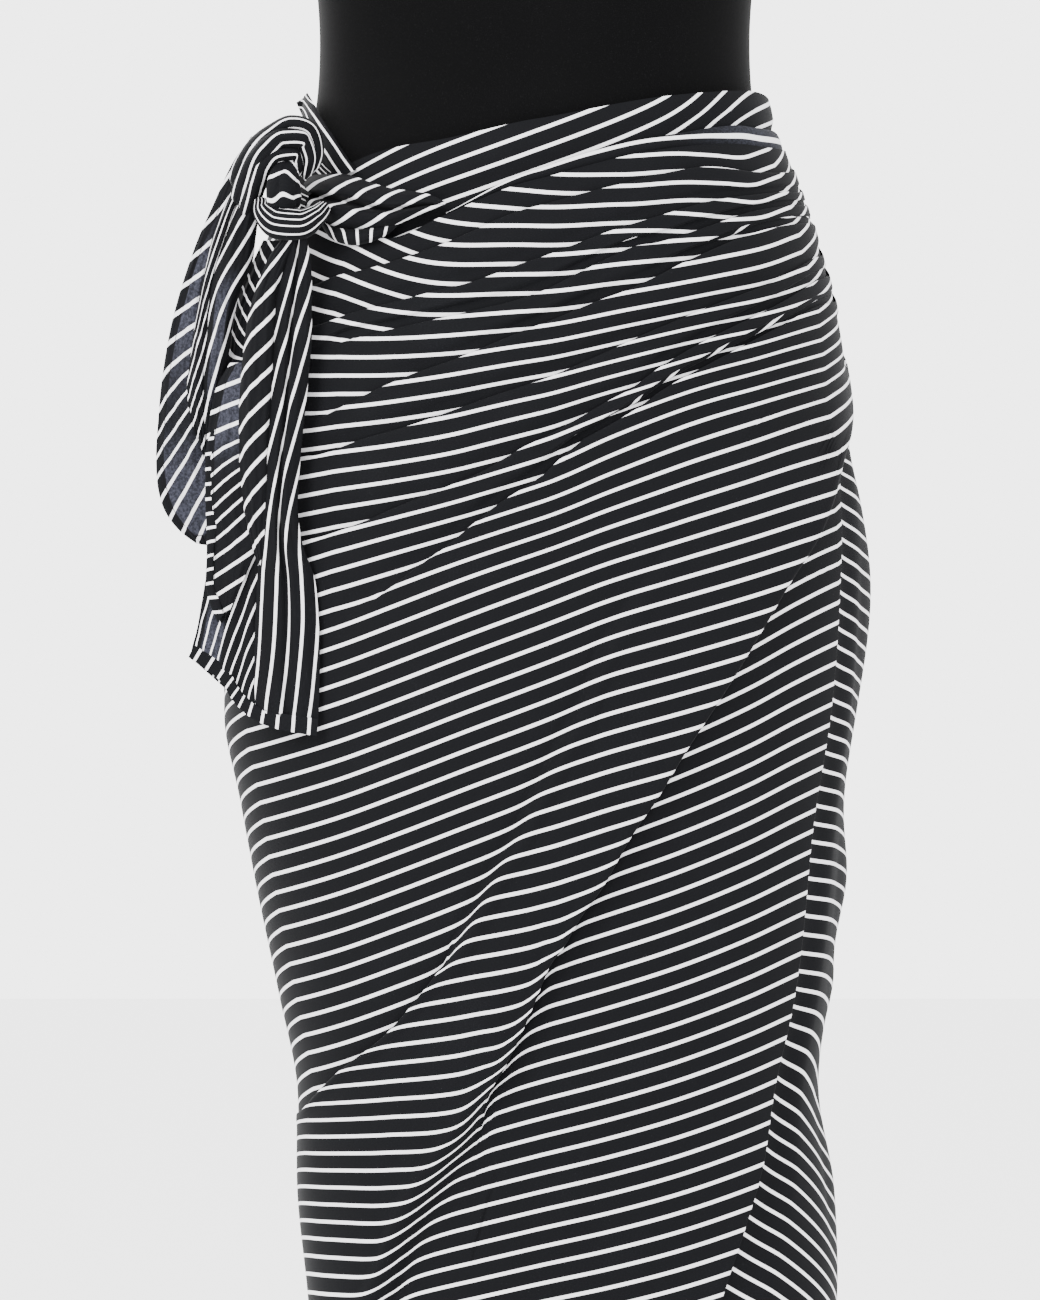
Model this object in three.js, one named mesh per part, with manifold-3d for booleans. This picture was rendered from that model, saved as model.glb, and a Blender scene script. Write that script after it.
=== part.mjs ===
// A striped sarong worn as an ankle-length wrap skirt on a limbless dress form.
// Millimetres, +Z up. The form faces -Y, its left side is +X, and it stands on z = 0.
import * as THREE from "three";
import { mergeVertices } from "three/addons/utils/BufferGeometryUtils.js";
import Module from "manifold-3d";

// Driving dimensions
const CLOTH = 1.4; // wall of the cloth
const SEAM_GAP = 0.3; // between pieces that meet
const UNDER_DEPTH = 6.4; // from the reference surface to the layer against the form
const HEM_WIDTH = 6.5;
const HEM_CLOTH = 0.8;
const HEM_HEIGHT = 100; // lowest edge of the skirt above the floor
const ROUNDNESS = 2.25; // exponent of the body's oval sections
const POLE_RADIUS = 16;
const BASE_RADIUS = 170;
const BASE_HEIGHT = 20;
const FORM_BOTTOM = 742;
const NECK_TOP = 1602;

const CLOTH_COLOUR = 0x26282c;
const FORM_COLOUR = 0x161617;
const METAL_COLOUR = 0x9a9a9c;

// Rows of a table become objects with the named columns.
function table(names, rows) {
  const columns = names.split(" ");
  return rows.map((row) => Object.fromEntries(columns.map((c, i) => [c, row[i]])));
}

// The skirt's outer surface, level by level: half widths to each side, depths to front and back.
const SECTIONS = table("z left right front back", [
  [100, 114, 161, 96, 94],
  [200, 118, 166, 99, 97],
  [300, 123, 171, 102, 100],
  [381, 128, 174, 105, 103],
  [439, 134, 168, 107, 105],
  [496, 135, 162, 109, 107],
  [554, 146, 169.5, 113, 111],
  [611, 157, 173.5, 118, 117],
  [669, 169, 177.5, 123, 123],
  [718, 180, 183, 126, 128],
  [755, 181, 186.5, 127, 131],
  [798, 180, 187, 126, 133],
  [841, 179, 184.5, 125, 134],
  [870, 179, 180, 124, 134],
  [899, 178.5, 179, 123, 133],
  [928, 176.5, 176.5, 121, 130],
  [956, 170, 170, 118, 126],
  [985, 161.5, 161.5, 114, 120],
  [1020, 149, 149, 109, 113],
  [1050, 140.5, 140.5, 104, 107],
  [1071, 136.5, 136.5, 101, 103],
  [1085, 135, 135, 99, 101],
  [1110, 133.5, 133.5, 97, 99],
]);

// The dress form above the waist and at its lower rim.
const TORSO = table("z wide front back", [
  [FORM_BOTTOM, 150, 102, 106],
  [748, 162.5, 111.5, 115.5],
  [770, 168.5, 117, 122.5],
  [800, 170.5, 118, 125],
  [841, 171, 117, 126],
  [870, 171, 116, 126],
  [899, 170.5, 115, 125],
  [928, 168.5, 113, 122],
  [956, 162, 110, 118],
  [985, 153.5, 106, 112],
  [1020, 141, 101, 105],
  [1050, 132.5, 96, 99],
  [1071, 128.5, 93, 95],
  [1085, 126.9, 91, 93],
  [1110, 126, 89.5, 91.5],
  [1150, 128.5, 90, 92],
  [1210, 137, 97, 97],
  [1280, 148, 108, 104],
  [1345, 154, 114, 108],
  [1400, 158, 106, 106],
  [1445, 161, 92, 98],
  [1478, 154, 78, 88],
  [1502, 128, 66, 76],
  [1522, 92, 58, 64],
  [1540, 66, 53, 56],
  [1560, 56, 50.5, 51.5],
  [NECK_TOP - 12, 53, 49, 49],
]);

// Smooth value of a column between the rows of a table.
function smooth(rows, key, at, by = "z") {
  const last = rows.length - 1;
  if (at <= rows[0][by]) return rows[0][key];
  if (at >= rows[last][by]) return rows[last][key];
  let i = 0;
  while (rows[i + 1][by] < at) i++;
  const slope = (a, b) => (rows[b][key] - rows[a][key]) / (rows[b][by] - rows[a][by]);
  const span = rows[i + 1][by] - rows[i][by];
  const middle = slope(i, i + 1);
  const most = 3 * Math.abs(middle);
  const limit = (s) => (s * middle <= 0 ? 0 : Math.sign(middle) * Math.min(Math.abs(s), most));
  const start = i > 0 ? limit((slope(i - 1, i) + middle) / 2) : middle;
  const end = i + 1 < last ? limit((slope(i + 1, i + 2) + middle) / 2) : middle;
  const t = (at - rows[i][by]) / span;
  const t2 = t * t;
  const t3 = t2 * t;
  return (
    (2 * t3 - 3 * t2 + 1) * rows[i][key] +
    (t3 - 2 * t2 + t) * span * start +
    (3 * t2 - 2 * t3) * rows[i + 1][key] +
    (t3 - t2) * span * end
  );
}

const radians = (degrees) => (degrees * Math.PI) / 180;
const mix = (a, b, t) => a + (b - a) * t;

// 0 below low, 1 above high, smooth between.
function ramp(value, low, high) {
  const t = Math.min(1, Math.max(0, (value - low) / (high - low)));
  return t * t * (3 - 2 * t);
}

// A point of an oval section: turn is 0 at the front and 90 at the form's left side.
function oval(section, turn, z, out) {
  const s = Math.sin(radians(turn));
  const c = Math.cos(radians(turn));
  const wide = s < 0 ? section.left : section.right;
  const deep = c > 0 ? section.front : section.back;
  const power = 2 / ROUNDNESS;
  const x = wide * Math.sign(s) * Math.abs(s) ** power;
  const y = -deep * Math.sign(c) * Math.abs(c) ** power;
  const nx = (Math.sign(x) * Math.abs(x / wide) ** (ROUNDNESS - 1)) / wide;
  const ny = (Math.sign(y) * Math.abs(y / deep) ** (ROUNDNESS - 1)) / deep;
  const length = Math.hypot(nx, ny);
  return new THREE.Vector3(x + (nx / length) * out, y + (ny / length) * out, z);
}

function sectionAt(z) {
  const at = (key) => smooth(SECTIONS, key, z);
  return { left: at("left"), right: at("right"), front: at("front"), back: at("back") };
}

const skirtPoint = (turn, z, out) => oval(sectionAt(z), turn, z, out);

// The turn at which the skirt's front passes a sideways place x.
function turnAt(x, z) {
  const section = sectionAt(z);
  const share = Math.min(0.9999, Math.abs(x) / (x < 0 ? section.left : section.right));
  return (Math.sign(x) * Math.asin(share ** (ROUNDNESS / 2)) * 180) / Math.PI;
}

// A line on the skirt's front from (x, z) places, kept as z by turn, with plain (turn, z) ends.
function line(before, places, after) {
  const middle = places.map(([x, z]) => [turnAt(x, z), z]);
  return table("turn z", [...before, ...middle, ...after]);
}

// Closed wall round a grid of points: rows of equal length, faces out on the side of the grid's left turn.
function wall(grid, thickness = CLOTH) {
  const rows = grid.length;
  const columns = grid[0].length;
  const positions = [];
  const across = new THREE.Vector3();
  const up = new THREE.Vector3();
  const pick = (i, j) => grid[Math.min(rows - 1, Math.max(0, i))][Math.min(columns - 1, Math.max(0, j))];
  for (const side of [1, -1]) {
    for (let i = 0; i < rows; i++) {
      for (let j = 0; j < columns; j++) {
        across.subVectors(pick(i, j + 1), pick(i, j - 1)).normalize();
        up.subVectors(pick(i + 1, j), pick(i - 1, j)).normalize();
        const normal = across.clone().cross(up).normalize();
        const p = grid[i][j].clone().addScaledVector(normal, (side * thickness) / 2);
        positions.push(p.x, p.y, p.z);
      }
    }
  }
  const faces = [];
  const layer = rows * columns;
  const id = (i, j, back) => i * columns + j + (back ? layer : 0);
  const quad = (a, b, c, d) => faces.push(a, b, c, a, c, d);
  for (let i = 0; i + 1 < rows; i++) {
    for (let j = 0; j + 1 < columns; j++) {
      const rising = grid[i][j].distanceTo(grid[i + 1][j + 1]);
      const falling = grid[i][j + 1].distanceTo(grid[i + 1][j]);
      for (const back of [0, 1]) {
        const corners = [id(i, j, back), id(i, j + 1, back), id(i + 1, j + 1, back), id(i + 1, j, back)];
        if (back) corners.reverse();
        if (rising > falling !== Boolean(back)) corners.push(corners.shift());
        quad(...corners);
      }
    }
  }
  for (let j = 0; j + 1 < columns; j++) {
    quad(id(0, j, 1), id(0, j + 1, 1), id(0, j + 1), id(0, j));
    quad(id(rows - 1, j), id(rows - 1, j + 1), id(rows - 1, j + 1, 1), id(rows - 1, j, 1));
  }
  for (let i = 0; i + 1 < rows; i++) {
    quad(id(i, 0), id(i + 1, 0), id(i + 1, 0, 1), id(i, 0, 1));
    quad(id(i, columns - 1, 1), id(i + 1, columns - 1, 1), id(i + 1, columns - 1), id(i, columns - 1));
  }
  return meshOf(positions, faces);
}

// Closed skin through rings of equal length, capped at both ends.
function skin(rings) {
  const count = rings[0].length;
  const positions = [];
  const faces = [];
  for (const ring of rings) {
    for (const p of ring) positions.push(p.x, p.y, p.z);
  }
  const id = (i, j) => i * count + (j % count);
  for (let i = 0; i + 1 < rings.length; i++) {
    for (let j = 0; j < count; j++) {
      faces.push(id(i, j), id(i, j + 1), id(i + 1, j + 1));
      faces.push(id(i, j), id(i + 1, j + 1), id(i + 1, j));
    }
  }
  for (const [ring, first] of [[0, true], [rings.length - 1, false]]) {
    const centre = new THREE.Vector3();
    for (const p of rings[ring]) centre.addScaledVector(p, 1 / count);
    const middle = positions.length / 3;
    positions.push(centre.x, centre.y, centre.z);
    for (let j = 0; j < count; j++) {
      if (first) faces.push(middle, id(ring, j + 1), id(ring, j));
      else faces.push(middle, id(ring, j), id(ring, j + 1));
    }
  }
  return meshOf(positions, faces);
}

function meshOf(positions, faces) {
  const geometry = new THREE.BufferGeometry();
  geometry.setAttribute("position", new THREE.Float32BufferAttribute(positions, 3));
  geometry.setIndex(faces);
  return geometry;
}

const group = new THREE.Group();

function add(name, geometry, colour, roughness, metalness = 0) {
  const material = new THREE.MeshStandardMaterial({ color: colour, roughness, metalness });
  const mesh = new THREE.Mesh(geometry, material);
  mesh.name = name;
  group.add(mesh);
  return mesh;
}

const addCloth = (name, geometry) => add(name, geometry, CLOTH_COLOUR, 0.85);

const steps = (from, to, count) => Array.from({ length: count + 1 }, (_, i) => mix(from, to, i / count));

// Where the layers run

// The free short edge of the outer layer: turn by height, past the side above z = 900.
const FREE_EDGE = line(
  [],
  [[45, 100], [62, 200], [86, 300], [110, 387], [122, 422], [135, 470], [145, 525], [153, 564], [160, 632],
    [170, 698], [177, 760], [179, 795], [180, 824], [179, 857]],
  [[90, 900], [97, 930], [104, 950], [106, 962]],
);
const freeEdgeTurn = (z) => smooth(FREE_EDGE, "turn", z, "z");

const SIDE_TURN = 106; // the outer layer's front stretch ends here and its gathered corner goes on
const RIGHT_TURN = -98; // the seam of stretches at the form's right side
const UNDER_START = -46; // hidden short edge of the under layer

// Top edges, by turn
const UNDER_TOP = line(
  [[-60, 1030]],
  [[-109, 1034], [-49, 1047], [14, 1061], [60, 1070], [95, 1075], [128, 1079]],
  [[90, 1077], [130, 1073], [180, 1068], [225, 1058], [262, 1036]],
);
const OUTER_TOP = line(
  [[-98, 1036], [-84, 1026], [-60, 1006]],
  [[-85, 992], [-52, 1005], [-20, 1019], [3, 1026], [28, 1033], [60, 1041], [99, 1047], [121, 1048],
    [136, 1047]],
  [[90, 1047], [106, 1050]],
);

// Pleats of the outer layer, top to bottom. Below each line the cloth lies on top, by height.
const PLEATS = [
  {
    places: [[-129, 965], [-94, 974], [-59, 985], [-20, 1002], [26, 1016], [57, 1024], [85, 1031], [127, 1031]],
    left: 985, right: [1036, 1042], height: 3.2, from: -80, full: -50,
  },
  {
    places: [[-129, 941], [-90, 952], [-37, 965], [13, 983], [48, 997], [75, 1005], [101, 1013], [140, 1020]],
    left: 952, right: [1024, 1033], height: 3.2, from: -80, full: -55,
  },
  {
    places: [[-129, 922], [-84, 938], [-34, 949], [11, 964], [57, 986], [96, 997], [122, 1007], [150, 1013]],
    left: 930, right: [1015, 1024], height: 3.4, from: -50, full: -25,
  },
  {
    places: [[-129, 888], [-109, 896], [-68, 913], [-29, 928], [9, 943], [51, 960], [87, 978], [122, 994],
      [152, 1002]],
    left: 896, right: [1004, 1014], height: 4.2, from: -65, full: -30,
  },
  {
    places: [[-129, 866], [-96, 876], [-68, 884], [-20, 901], [23, 917], [64, 936], [101, 952], [128, 963],
      [160, 981]],
    left: 872, right: [988, 1002], height: 3.6, from: -85, full: -50,
  },
  {
    places: [[-129, 818], [-79, 836], [-29, 857], [9, 878], [53, 903], [99, 933], [132, 950], [162, 968]],
    left: 812, right: [976, 990], height: 4.2, from: -85, full: -45,
  },
  {
    places: [[-129, 762], [-101, 778], [-71, 800], [-36, 826], [0, 851], [44, 884], [102, 920], [131, 936],
      [160, 952]],
    left: 752, right: [961, 974], height: 4.2, from: -35, full: -5,
  },
].map((p) => ({ ...p, line: line([[-98, p.left]], p.places, [[90, p.right[0]], [106, p.right[1]]]) }));

// The two long diagonal folds. Between them the cloth stands out as one soft roll.
const UPPER_FOLD = line(
  [[-98, 455]],
  [[-141, 476], [-98, 519], [-67, 553], [-37, 600], [-7, 656], [18, 707], [38, 752], [52, 775], [90, 826],
    [130, 872], [160, 905]],
  [[90, 935], [106, 955]],
);
const LOWER_FOLD = line(
  [[-98, 270], [-70, 305]],
  [[-86, 382], [-51, 457], [-16, 519], [7, 573], [37, 619], [69, 672], [103, 727], [136, 783], [159, 821],
    [172, 858]],
  [[90, 900], [106, 948]],
);
const UPPER_FOLD_HEIGHT = 7;
const LOWER_FOLD_HEIGHT = 9;

const hemOuter = (turn) => HEM_HEIGHT + 14 * ramp(turn, -30, 20) + 10 * ramp(-turn, 60, 98);
const hemUnder = (turn) => HEM_HEIGHT + 42 * (1 - ramp(turn, 0, 95)) + 10 * ramp(turn, 200, 262);

// Depth of the under layer below the reference surface: against the outer layer in front and at the
// waist, out to the surface where it shows.
function underDepth(turn, z) {
  const edge = freeEdgeTurn(Math.min(z, 868));
  const shows = ramp(turn, edge + 9, edge + 29);
  const low = 1 - ramp(z, 862, 955);
  const atSeam = ramp(turn, 215, 255);
  const bulge = 8 * Math.exp(-(((z - 795) / 34) ** 2)) * ramp(turn, 83, 97) * (1 - ramp(turn, 112, 140));
  const hidden = UNDER_DEPTH + 0.5 * (1 - ramp(turn, -50, -30)) * (1 - ramp(z, 740, 800));
  return bulge - mix(mix(hidden, 1, shows * low), 1, Math.max(atSeam, low * ramp(turn, 110, 130)));
}

// Soft vertical hollows of the hanging cloth below the hips: turn, depth, half width in degrees.
const HOLLOWS = table("turn depth width top", [
  [128, 7, 14, 760],
  [160, 9, 12, 700],
  [196, 8, 13, 740],
  [226, 9, 12, 690],
  [252, 5, 9, 640],
]);
function hollow(turn, z) {
  let depth = 0;
  for (const h of HOLLOWS) {
    const off = (turn - h.turn - (h.top - z) * 0.012) / h.width;
    depth += h.depth * Math.exp(-off * off) * (1 - ramp(z, h.top - 160, h.top));
  }
  return -depth;
}

// A sheet from rows, bottom to top: each row gives its height above the floor and its distance out from
// the reference surface, both by turn. Columns run from the first turn to the end turn at that height.
function sheet(rows, first, endTurn, shares) {
  return rows.map((row) =>
    shares.map((share) => {
      let turn = mix(first, endTurn(row.z(0)), share);
      for (let k = 0; k < 30; k++) turn = mix(turn, mix(first, endTurn(row.z(turn)), share), 0.5);
      return skirtPoint(turn, row.z(turn), row.out(turn));
    }),
  );
}

const between = (low, high, share) => (turn) => mix(low(turn), high(turn), share);
const byTurn = (lineRows) => (turn) => smooth(lineRows, "z", turn, "turn");
const hollowAt = (turn, z) => hollow(turn < -60 ? turn + 360 : turn, z);

// Outer layer, front: rows from the hem up to the top edge.
const OUTER_OUT = -1;
const outerTop = byTurn(OUTER_TOP);
const upperFold = byTurn(UPPER_FOLD);
const lowerFold = byTurn(LOWER_FOLD);
const rollHeight = (turn) => ramp(turn, -100, -40) * (1 - 0.6 * ramp(turn, 55, 85));
const upperHeight = (turn) => UPPER_FOLD_HEIGHT * ramp(turn, -95, -60) * (1 - ramp(turn, 5, 40));

function outerRows() {
  const rows = [];
  const put = (z, lift) => rows.push({ z, out: (turn) => OUTER_OUT + lift(turn) + hollowAt(turn, z(turn)) });
  const trough = (turn) => -1.4 * rollHeight(turn);
  const foldLow = (turn) => lowerFold(turn) - 13;
  const foldEdge = (turn) => lowerFold(turn) + 6;
  const plainShares = [0, 0.03, 0.14, 0.26, 0.38, 0.5, 0.61, 0.72, 0.82, 0.92];
  for (const share of plainShares) put(between(hemOuter, foldLow, share), () => 0);
  put(foldLow, trough);
  put(foldEdge, (turn) => LOWER_FOLD_HEIGHT * rollHeight(turn));
  const kinkLow = (turn) => upperFold(turn) - 5;
  const kinkHigh = (turn) => upperFold(turn) + 9;
  const crown = (turn) => LOWER_FOLD_HEIGHT * rollHeight(turn);
  put(between(foldEdge, kinkLow, 0.3), (turn) => 0.75 * crown(turn));
  put(between(foldEdge, kinkLow, 0.65), (turn) => mix(0.3 * crown(turn), upperHeight(turn), 0.5));
  put(kinkLow, upperHeight);
  put(kinkHigh, (turn) => -0.15 * upperHeight(turn));
  let below = kinkHigh;
  let spacing = [0.3, 0.62];
  for (const pleat of [...PLEATS].reverse()) {
    const fold = byTurn(pleat.line);
    const lift = (turn) => pleat.height * ramp(turn, pleat.from, pleat.full);
    const edge = (turn) => fold(turn) - 1.4;
    const under = (turn) => fold(turn) + 1.1;
    for (const share of spacing) put(between(below, edge, share), (turn) => 0.4 * lift(turn) * share);
    put(edge, lift);
    put(under, () => 0);
    below = under;
    spacing = [0.5];
  }
  put(between(below, outerTop, 0.5), () => 0);
  put(outerTop, () => 0.4);
  return rows;
}

const frontShares = steps(0, 1, 25);
const outerEnd = (z) => Math.min(SIDE_TURN, freeEdgeTurn(z));
const frontGrid = sheet(outerRows(), RIGHT_TURN, outerEnd, frontShares);
addCloth("wrap_front", wall(frontGrid));

// Rolled top edge of the outer layer, tucked just behind it and showing above it.
const rolledRows = [
  { z: (turn) => outerTop(turn) - 3, out: () => -3.2 },
  { z: (turn) => outerTop(turn) + 2.5, out: () => -3 },
  { z: (turn) => outerTop(turn) + 7 * ramp(turn, -24, 10) + 0.5, out: () => -3.6 },
];
addCloth("rolled_edge", wall(sheet(rolledRows, -17, () => SIDE_TURN, steps(0, 1, 16)), 1));

// The outer layer's gathered corner, round the back of the waist to the knot.
const BAND = table("turn low high", [
  [106, 962, 1050],
  [125, 990, 1058],
  [150, 1014, 1066],
  [180, 1030, 1071],
  [215, 1037, 1072],
  [245, 1037, 1070],
  [262, 1030, 1066],
  [280, 1014, 1058],
  [296, 1006, 1046],
]);
const BAND_FOLDS = 5;
const bandRows = [];
for (let i = 0; i <= 2 * BAND_FOLDS; i++) {
  const share = i / (2 * BAND_FOLDS);
  bandRows.push({
    z: (turn) => mix(smooth(BAND, "low", turn, "turn"), smooth(BAND, "high", turn, "turn"), share),
    out: (turn) => OUTER_OUT + 3.5 * ramp(turn, 190, 240) + 6 * ramp(turn, 255, 296) + (i % 2) * 2.6,
  });
}
const bandWall = wall(sheet(bandRows, SIDE_TURN + 0.35, () => 296, steps(0, 1, 21)));

// The layer against the form: its hidden front with the top band, the left side and the back.
const underTop = byTurn(UNDER_TOP);
function underRows(shares) {
  return shares.map((share) => {
    const z = between(hemUnder, underTop, share);
    return { z, out: (turn) => underDepth(turn, z(turn)) + hollow(turn, z(turn)) };
  });
}
const underShares = [
  0, 0.03, 0.14, 0.25, 0.36, 0.46, 0.55, 0.64, 0.7, 0.75, 0.79, 0.82, 0.85, 0.88, 0.91, 0.94, 0.97, 1,
];
const UNDER_STRETCHES = table("name from to columns", [
  ["under_front", -62, 58, 12],
  ["wrap_side", 58.3, 118, 10],
  ["wrap_back", 118.3, 261.7, 19],
]);
const underGrids = UNDER_STRETCHES.map((stretch) => {
  const shares = steps(0, 1, stretch.columns);
  const grid = sheet(underRows(underShares), stretch.from, () => stretch.to, shares);
  addCloth(stretch.name, wall(grid));
  return grid;
});
const backGrid = underGrids[2];

// Hems: turned-in strips made from the panels' own edge points, moved inside the wall.
// Each pair is a point on the edge and its neighbour across the panel.
function hemStrip(pairs) {
  const inner = [];
  const outer = [];
  pairs.forEach(([edge, next], i) => {
    const along = pairs[Math.min(pairs.length - 1, i + 1)][0].clone().sub(pairs[Math.max(0, i - 1)][0]);
    const across = next.clone().sub(edge).normalize();
    const inward = along.cross(across).normalize();
    const moved = edge.clone().addScaledVector(inward, CLOTH / 2 + SEAM_GAP + HEM_CLOTH / 2 + 0.2);
    outer.push(moved.clone().addScaledVector(across, 0.4));
    inner.push(moved.addScaledVector(across, HEM_WIDTH));
  });
  return [outer, inner];
}

const lastColumn = frontShares.length - 1;
const edgePairs = frontGrid.slice(1, 10).map((row) => [row[lastColumn], row[lastColumn - 1]]);
addCloth("hem_free_edge", wall(hemStrip(edgePairs.reverse()), HEM_CLOTH));
const bottomPairs = (grid) => grid[0].map((p, j) => [p, grid[1][j]]).reverse();
addCloth("hem_bottom_front", wall(hemStrip(bottomPairs(frontGrid).slice(2)), HEM_CLOTH));
addCloth("hem_bottom_back", wall(hemStrip(bottomPairs(backGrid)), HEM_CLOTH));

// Knot: three lobes joined in one solid.
const wasm = await Module();
wasm.setup();

function solidOf(geometry) {
  const merged = mergeVertices(geometry, 1e-4);
  const positions = merged.attributes.position.array;
  const faces = new Uint32Array(merged.index.array);
  return new wasm.Manifold(new wasm.Mesh({ numProp: 3, vertProperties: positions, triVerts: faces }));
}

function geometryOf(solid) {
  const mesh = solid.getMesh();
  return meshOf(Array.from(mesh.vertProperties), Array.from(mesh.triVerts));
}

// A lobe of bunched cloth: an oval tube along a curve, thick in the middle.
function lobe(points, wide, thick, grow = 0) {
  const curve = new THREE.CatmullRomCurve3(points.map(([x, y, z]) => new THREE.Vector3(x, y, z)));
  const end = grow > 0 ? 0.005 : 0.02;
  const rings = steps(end, 1 - end, 7).map((t) => {
    const centre = curve.getPoint(t);
    const tangent = curve.getTangent(t);
    const outward = new THREE.Vector3(-0.74, -0.67, 0);
    const side = new THREE.Vector3().crossVectors(tangent, outward).normalize();
    const front = new THREE.Vector3().crossVectors(tangent, side).normalize();
    const swell = 0.55 + 0.45 * Math.sin(Math.PI * t);
    return steps(0, 1, 10).slice(0, 10).map((turn) => {
      const angle = turn * 2 * Math.PI;
      return centre
        .clone()
        .addScaledVector(side, Math.cos(angle) * (wide * swell + grow))
        .addScaledVector(front, Math.sin(angle) * (thick * swell + grow));
    });
  });
  return solidOf(skin(rings));
}

const LOBES = [
  {
    at: [[-122, -88, 1034], [-136, -92, 1044], [-152, -90, 1047], [-166, -80, 1038], [-174, -72, 1024]],
    wide: 16, thick: 13,
  },
  { at: [[-143, -98, 1038], [-145, -104, 1026], [-146, -104, 1014], [-144, -96, 1002]], wide: 13, thick: 9 },
  {
    at: [[-158, -86, 1016], [-153, -94, 1003], [-142, -98, 998], [-130, -95, 1002], [-122, -90, 1012]],
    wide: 9, thick: 10,
  },
];
const knotOf = (grow) =>
  LOBES.map((l) => lobe(l.at, l.wide, l.thick, grow)).reduce((all, one) => all.add(one));
const knot = knotOf(0);
const knotRoom = knotOf(SEAM_GAP);
addCloth("knot", geometryOf(knot));
const clearOfKnot = (geometry) => {
  const parts = solidOf(geometry).subtract(knotRoom).decompose();
  parts.sort((a, b) => b.volume() - a.volume());
  return geometryOf(parts[0]);
};
addCloth("corner_band", clearOfKnot(bandWall));

// A hanging end: rows from root to tip, each from a left to a right place, pleated lengthwise.
function tail(rows, folds, depth, columns) {
  const grid = [];
  const shares = steps(0, 1, columns);
  const down = rows.length - 1;
  for (const t of steps(0, down, Math.round(down * 1.5))) {
    const i = Math.min(down - 1, Math.floor(t));
    const at = (key) => mix(rows[i][key], rows[i + 1][key], t - i);
    const left = new THREE.Vector3(at("x1"), at("y1"), at("z1"));
    const right = new THREE.Vector3(at("x2"), at("y2"), at("z2"));
    const spread = ramp(t, 0, down * 0.4);
    grid.push(
      shares.map((share) => {
        const wave = Math.sin(share * folds * 2 * Math.PI + 0.5) * depth * spread;
        const point = left.clone().lerp(right, share);
        point.y += wave;
        point.z += at("sag") * Math.sin(Math.PI * share);
        return point;
      }),
    );
  }
  return wall(grid.reverse());
}

const TAIL_OUTER = table("x1 y1 z1 x2 y2 z2 sag", [
  [-158, -84, 1054, -146, -90, 1030, 0],
  [-170, -78, 1041, -153, -86, 1020, 0],
  [-182, -72, 1018, -158, -84, 1006, 0],
  [-194, -66, 996, -162, -82, 990, 0],
  [-201, -62, 972, -168, -80, 970, 0],
  [-207, -60, 945, -175, -79, 948, 0],
  [-213, -58, 916, -180, -78, 918, 0],
  [-217, -58, 884, -185, -77, 888, 0],
  [-219, -58, 861, -189, -76, 858, 0],
  [-218, -58, 846, -192, -76, 821, -6],
]);
const TAIL_INNER = table("x1 y1 z1 x2 y2 z2 sag", [
  [-152, -92, 996, -134, -98, 998, 0],
  [-158, -91, 966, -130, -103, 968, 0],
  [-165, -90, 938, -129, -106, 942, 0],
  [-169, -89, 902, -130, -108, 908, 0],
  [-178, -87, 873, -136, -109, 876, 0],
  [-188, -86, 847, -141, -109, 849, 0],
  [-189, -86, 815, -137, -112, 822, 0],
  [-192, -86, 790, -129, -116, 798, 0],
  [-198, -86, 768, -124, -118, 772, -2],
  [-198, -86, 749, -126, -118, 708, -10],
]);
const TAIL_BACK = table("x1 y1 z1 x2 y2 z2 sag", [
  [-166, -74, 1006, -154, -80, 1004, 0],
  [-174, -68, 960, -160, -74, 956, 0],
  [-178, -66, 915, -164, -72, 912, 0],
  [-182, -66, 870, -168, -72, 868, 0],
  [-192, -66, 820, -172, -72, 812, 0],
  [-190, -66, 792, -176, -72, 786, 0],
]);
addCloth("tail_outer", clearOfKnot(tail(TAIL_OUTER, 1.5, 5, 8)));
addCloth("tail_inner", clearOfKnot(tail(TAIL_INNER, 2, 5, 10)));
addCloth("tail_back", clearOfKnot(tail(TAIL_BACK, 0.5, 2, 3)));

// The puffed root of the corner, lying over the outer layer's top edge beside the knot.
const LEAF = table("x low high out", [
  [-128, 1000, 1026, 11],
  [-120, 996, 1030, 12],
  [-109, 989, 1030, 11],
  [-98, 987, 1026, 9],
  [-86, 992, 1023, 7.5],
  [-72, 997, 1020, 6],
  [-60, 1001, 1016, 4.5],
  [-50, 1003, 1010, 2],
]);
const LEAF_SEAT = 0.9; // its edges rest on the outer layer's top edge
const leafGrid = steps(0, 1, 6).map((share) =>
  steps(-128, -50, 12).map((x) => {
    const low = smooth(LEAF, "low", x, "x");
    const high = smooth(LEAF, "high", x, "x");
    const z = mix(low, high, share);
    const puff = Math.sin(Math.PI * share) ** 0.7;
    return skirtPoint(turnAt(x, z), z, LEAF_SEAT + smooth(LEAF, "out", x, "x") * puff);
  }),
);
addCloth("knot_leaf", clearOfKnot(wall(leafGrid)));

// Dress form, pole and base
const formSection = (z) => {
  const at = (key) => smooth(TORSO, key, z);
  return { left: at("wide"), right: at("wide"), front: at("front"), back: at("back") };
};
const ringTurns = steps(0, 360, 30).slice(0, 30);
const formRings = TORSO.map((row) => ringTurns.map((turn) => oval(formSection(row.z), turn, row.z, 0)));
add("form_torso", skin(formRings), FORM_COLOUR, 0.8);

const capProfile = [[0, 0], [51, 0], [53, 2], [53, 9], [49, 12], [10, 15], [0, 15.5]];
const lathe = (profile, sides) => {
  const geometry = new THREE.LatheGeometry(profile.map(([r, z]) => new THREE.Vector2(r, z)), sides);
  geometry.rotateX(Math.PI / 2);
  geometry.deleteAttribute("uv");
  geometry.deleteAttribute("normal");
  return geometry;
};
add("neck_cap", lathe(capProfile, 24).translate(0, 0, NECK_TOP - 12 + SEAM_GAP), METAL_COLOUR, 0.4, 0.8);

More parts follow.
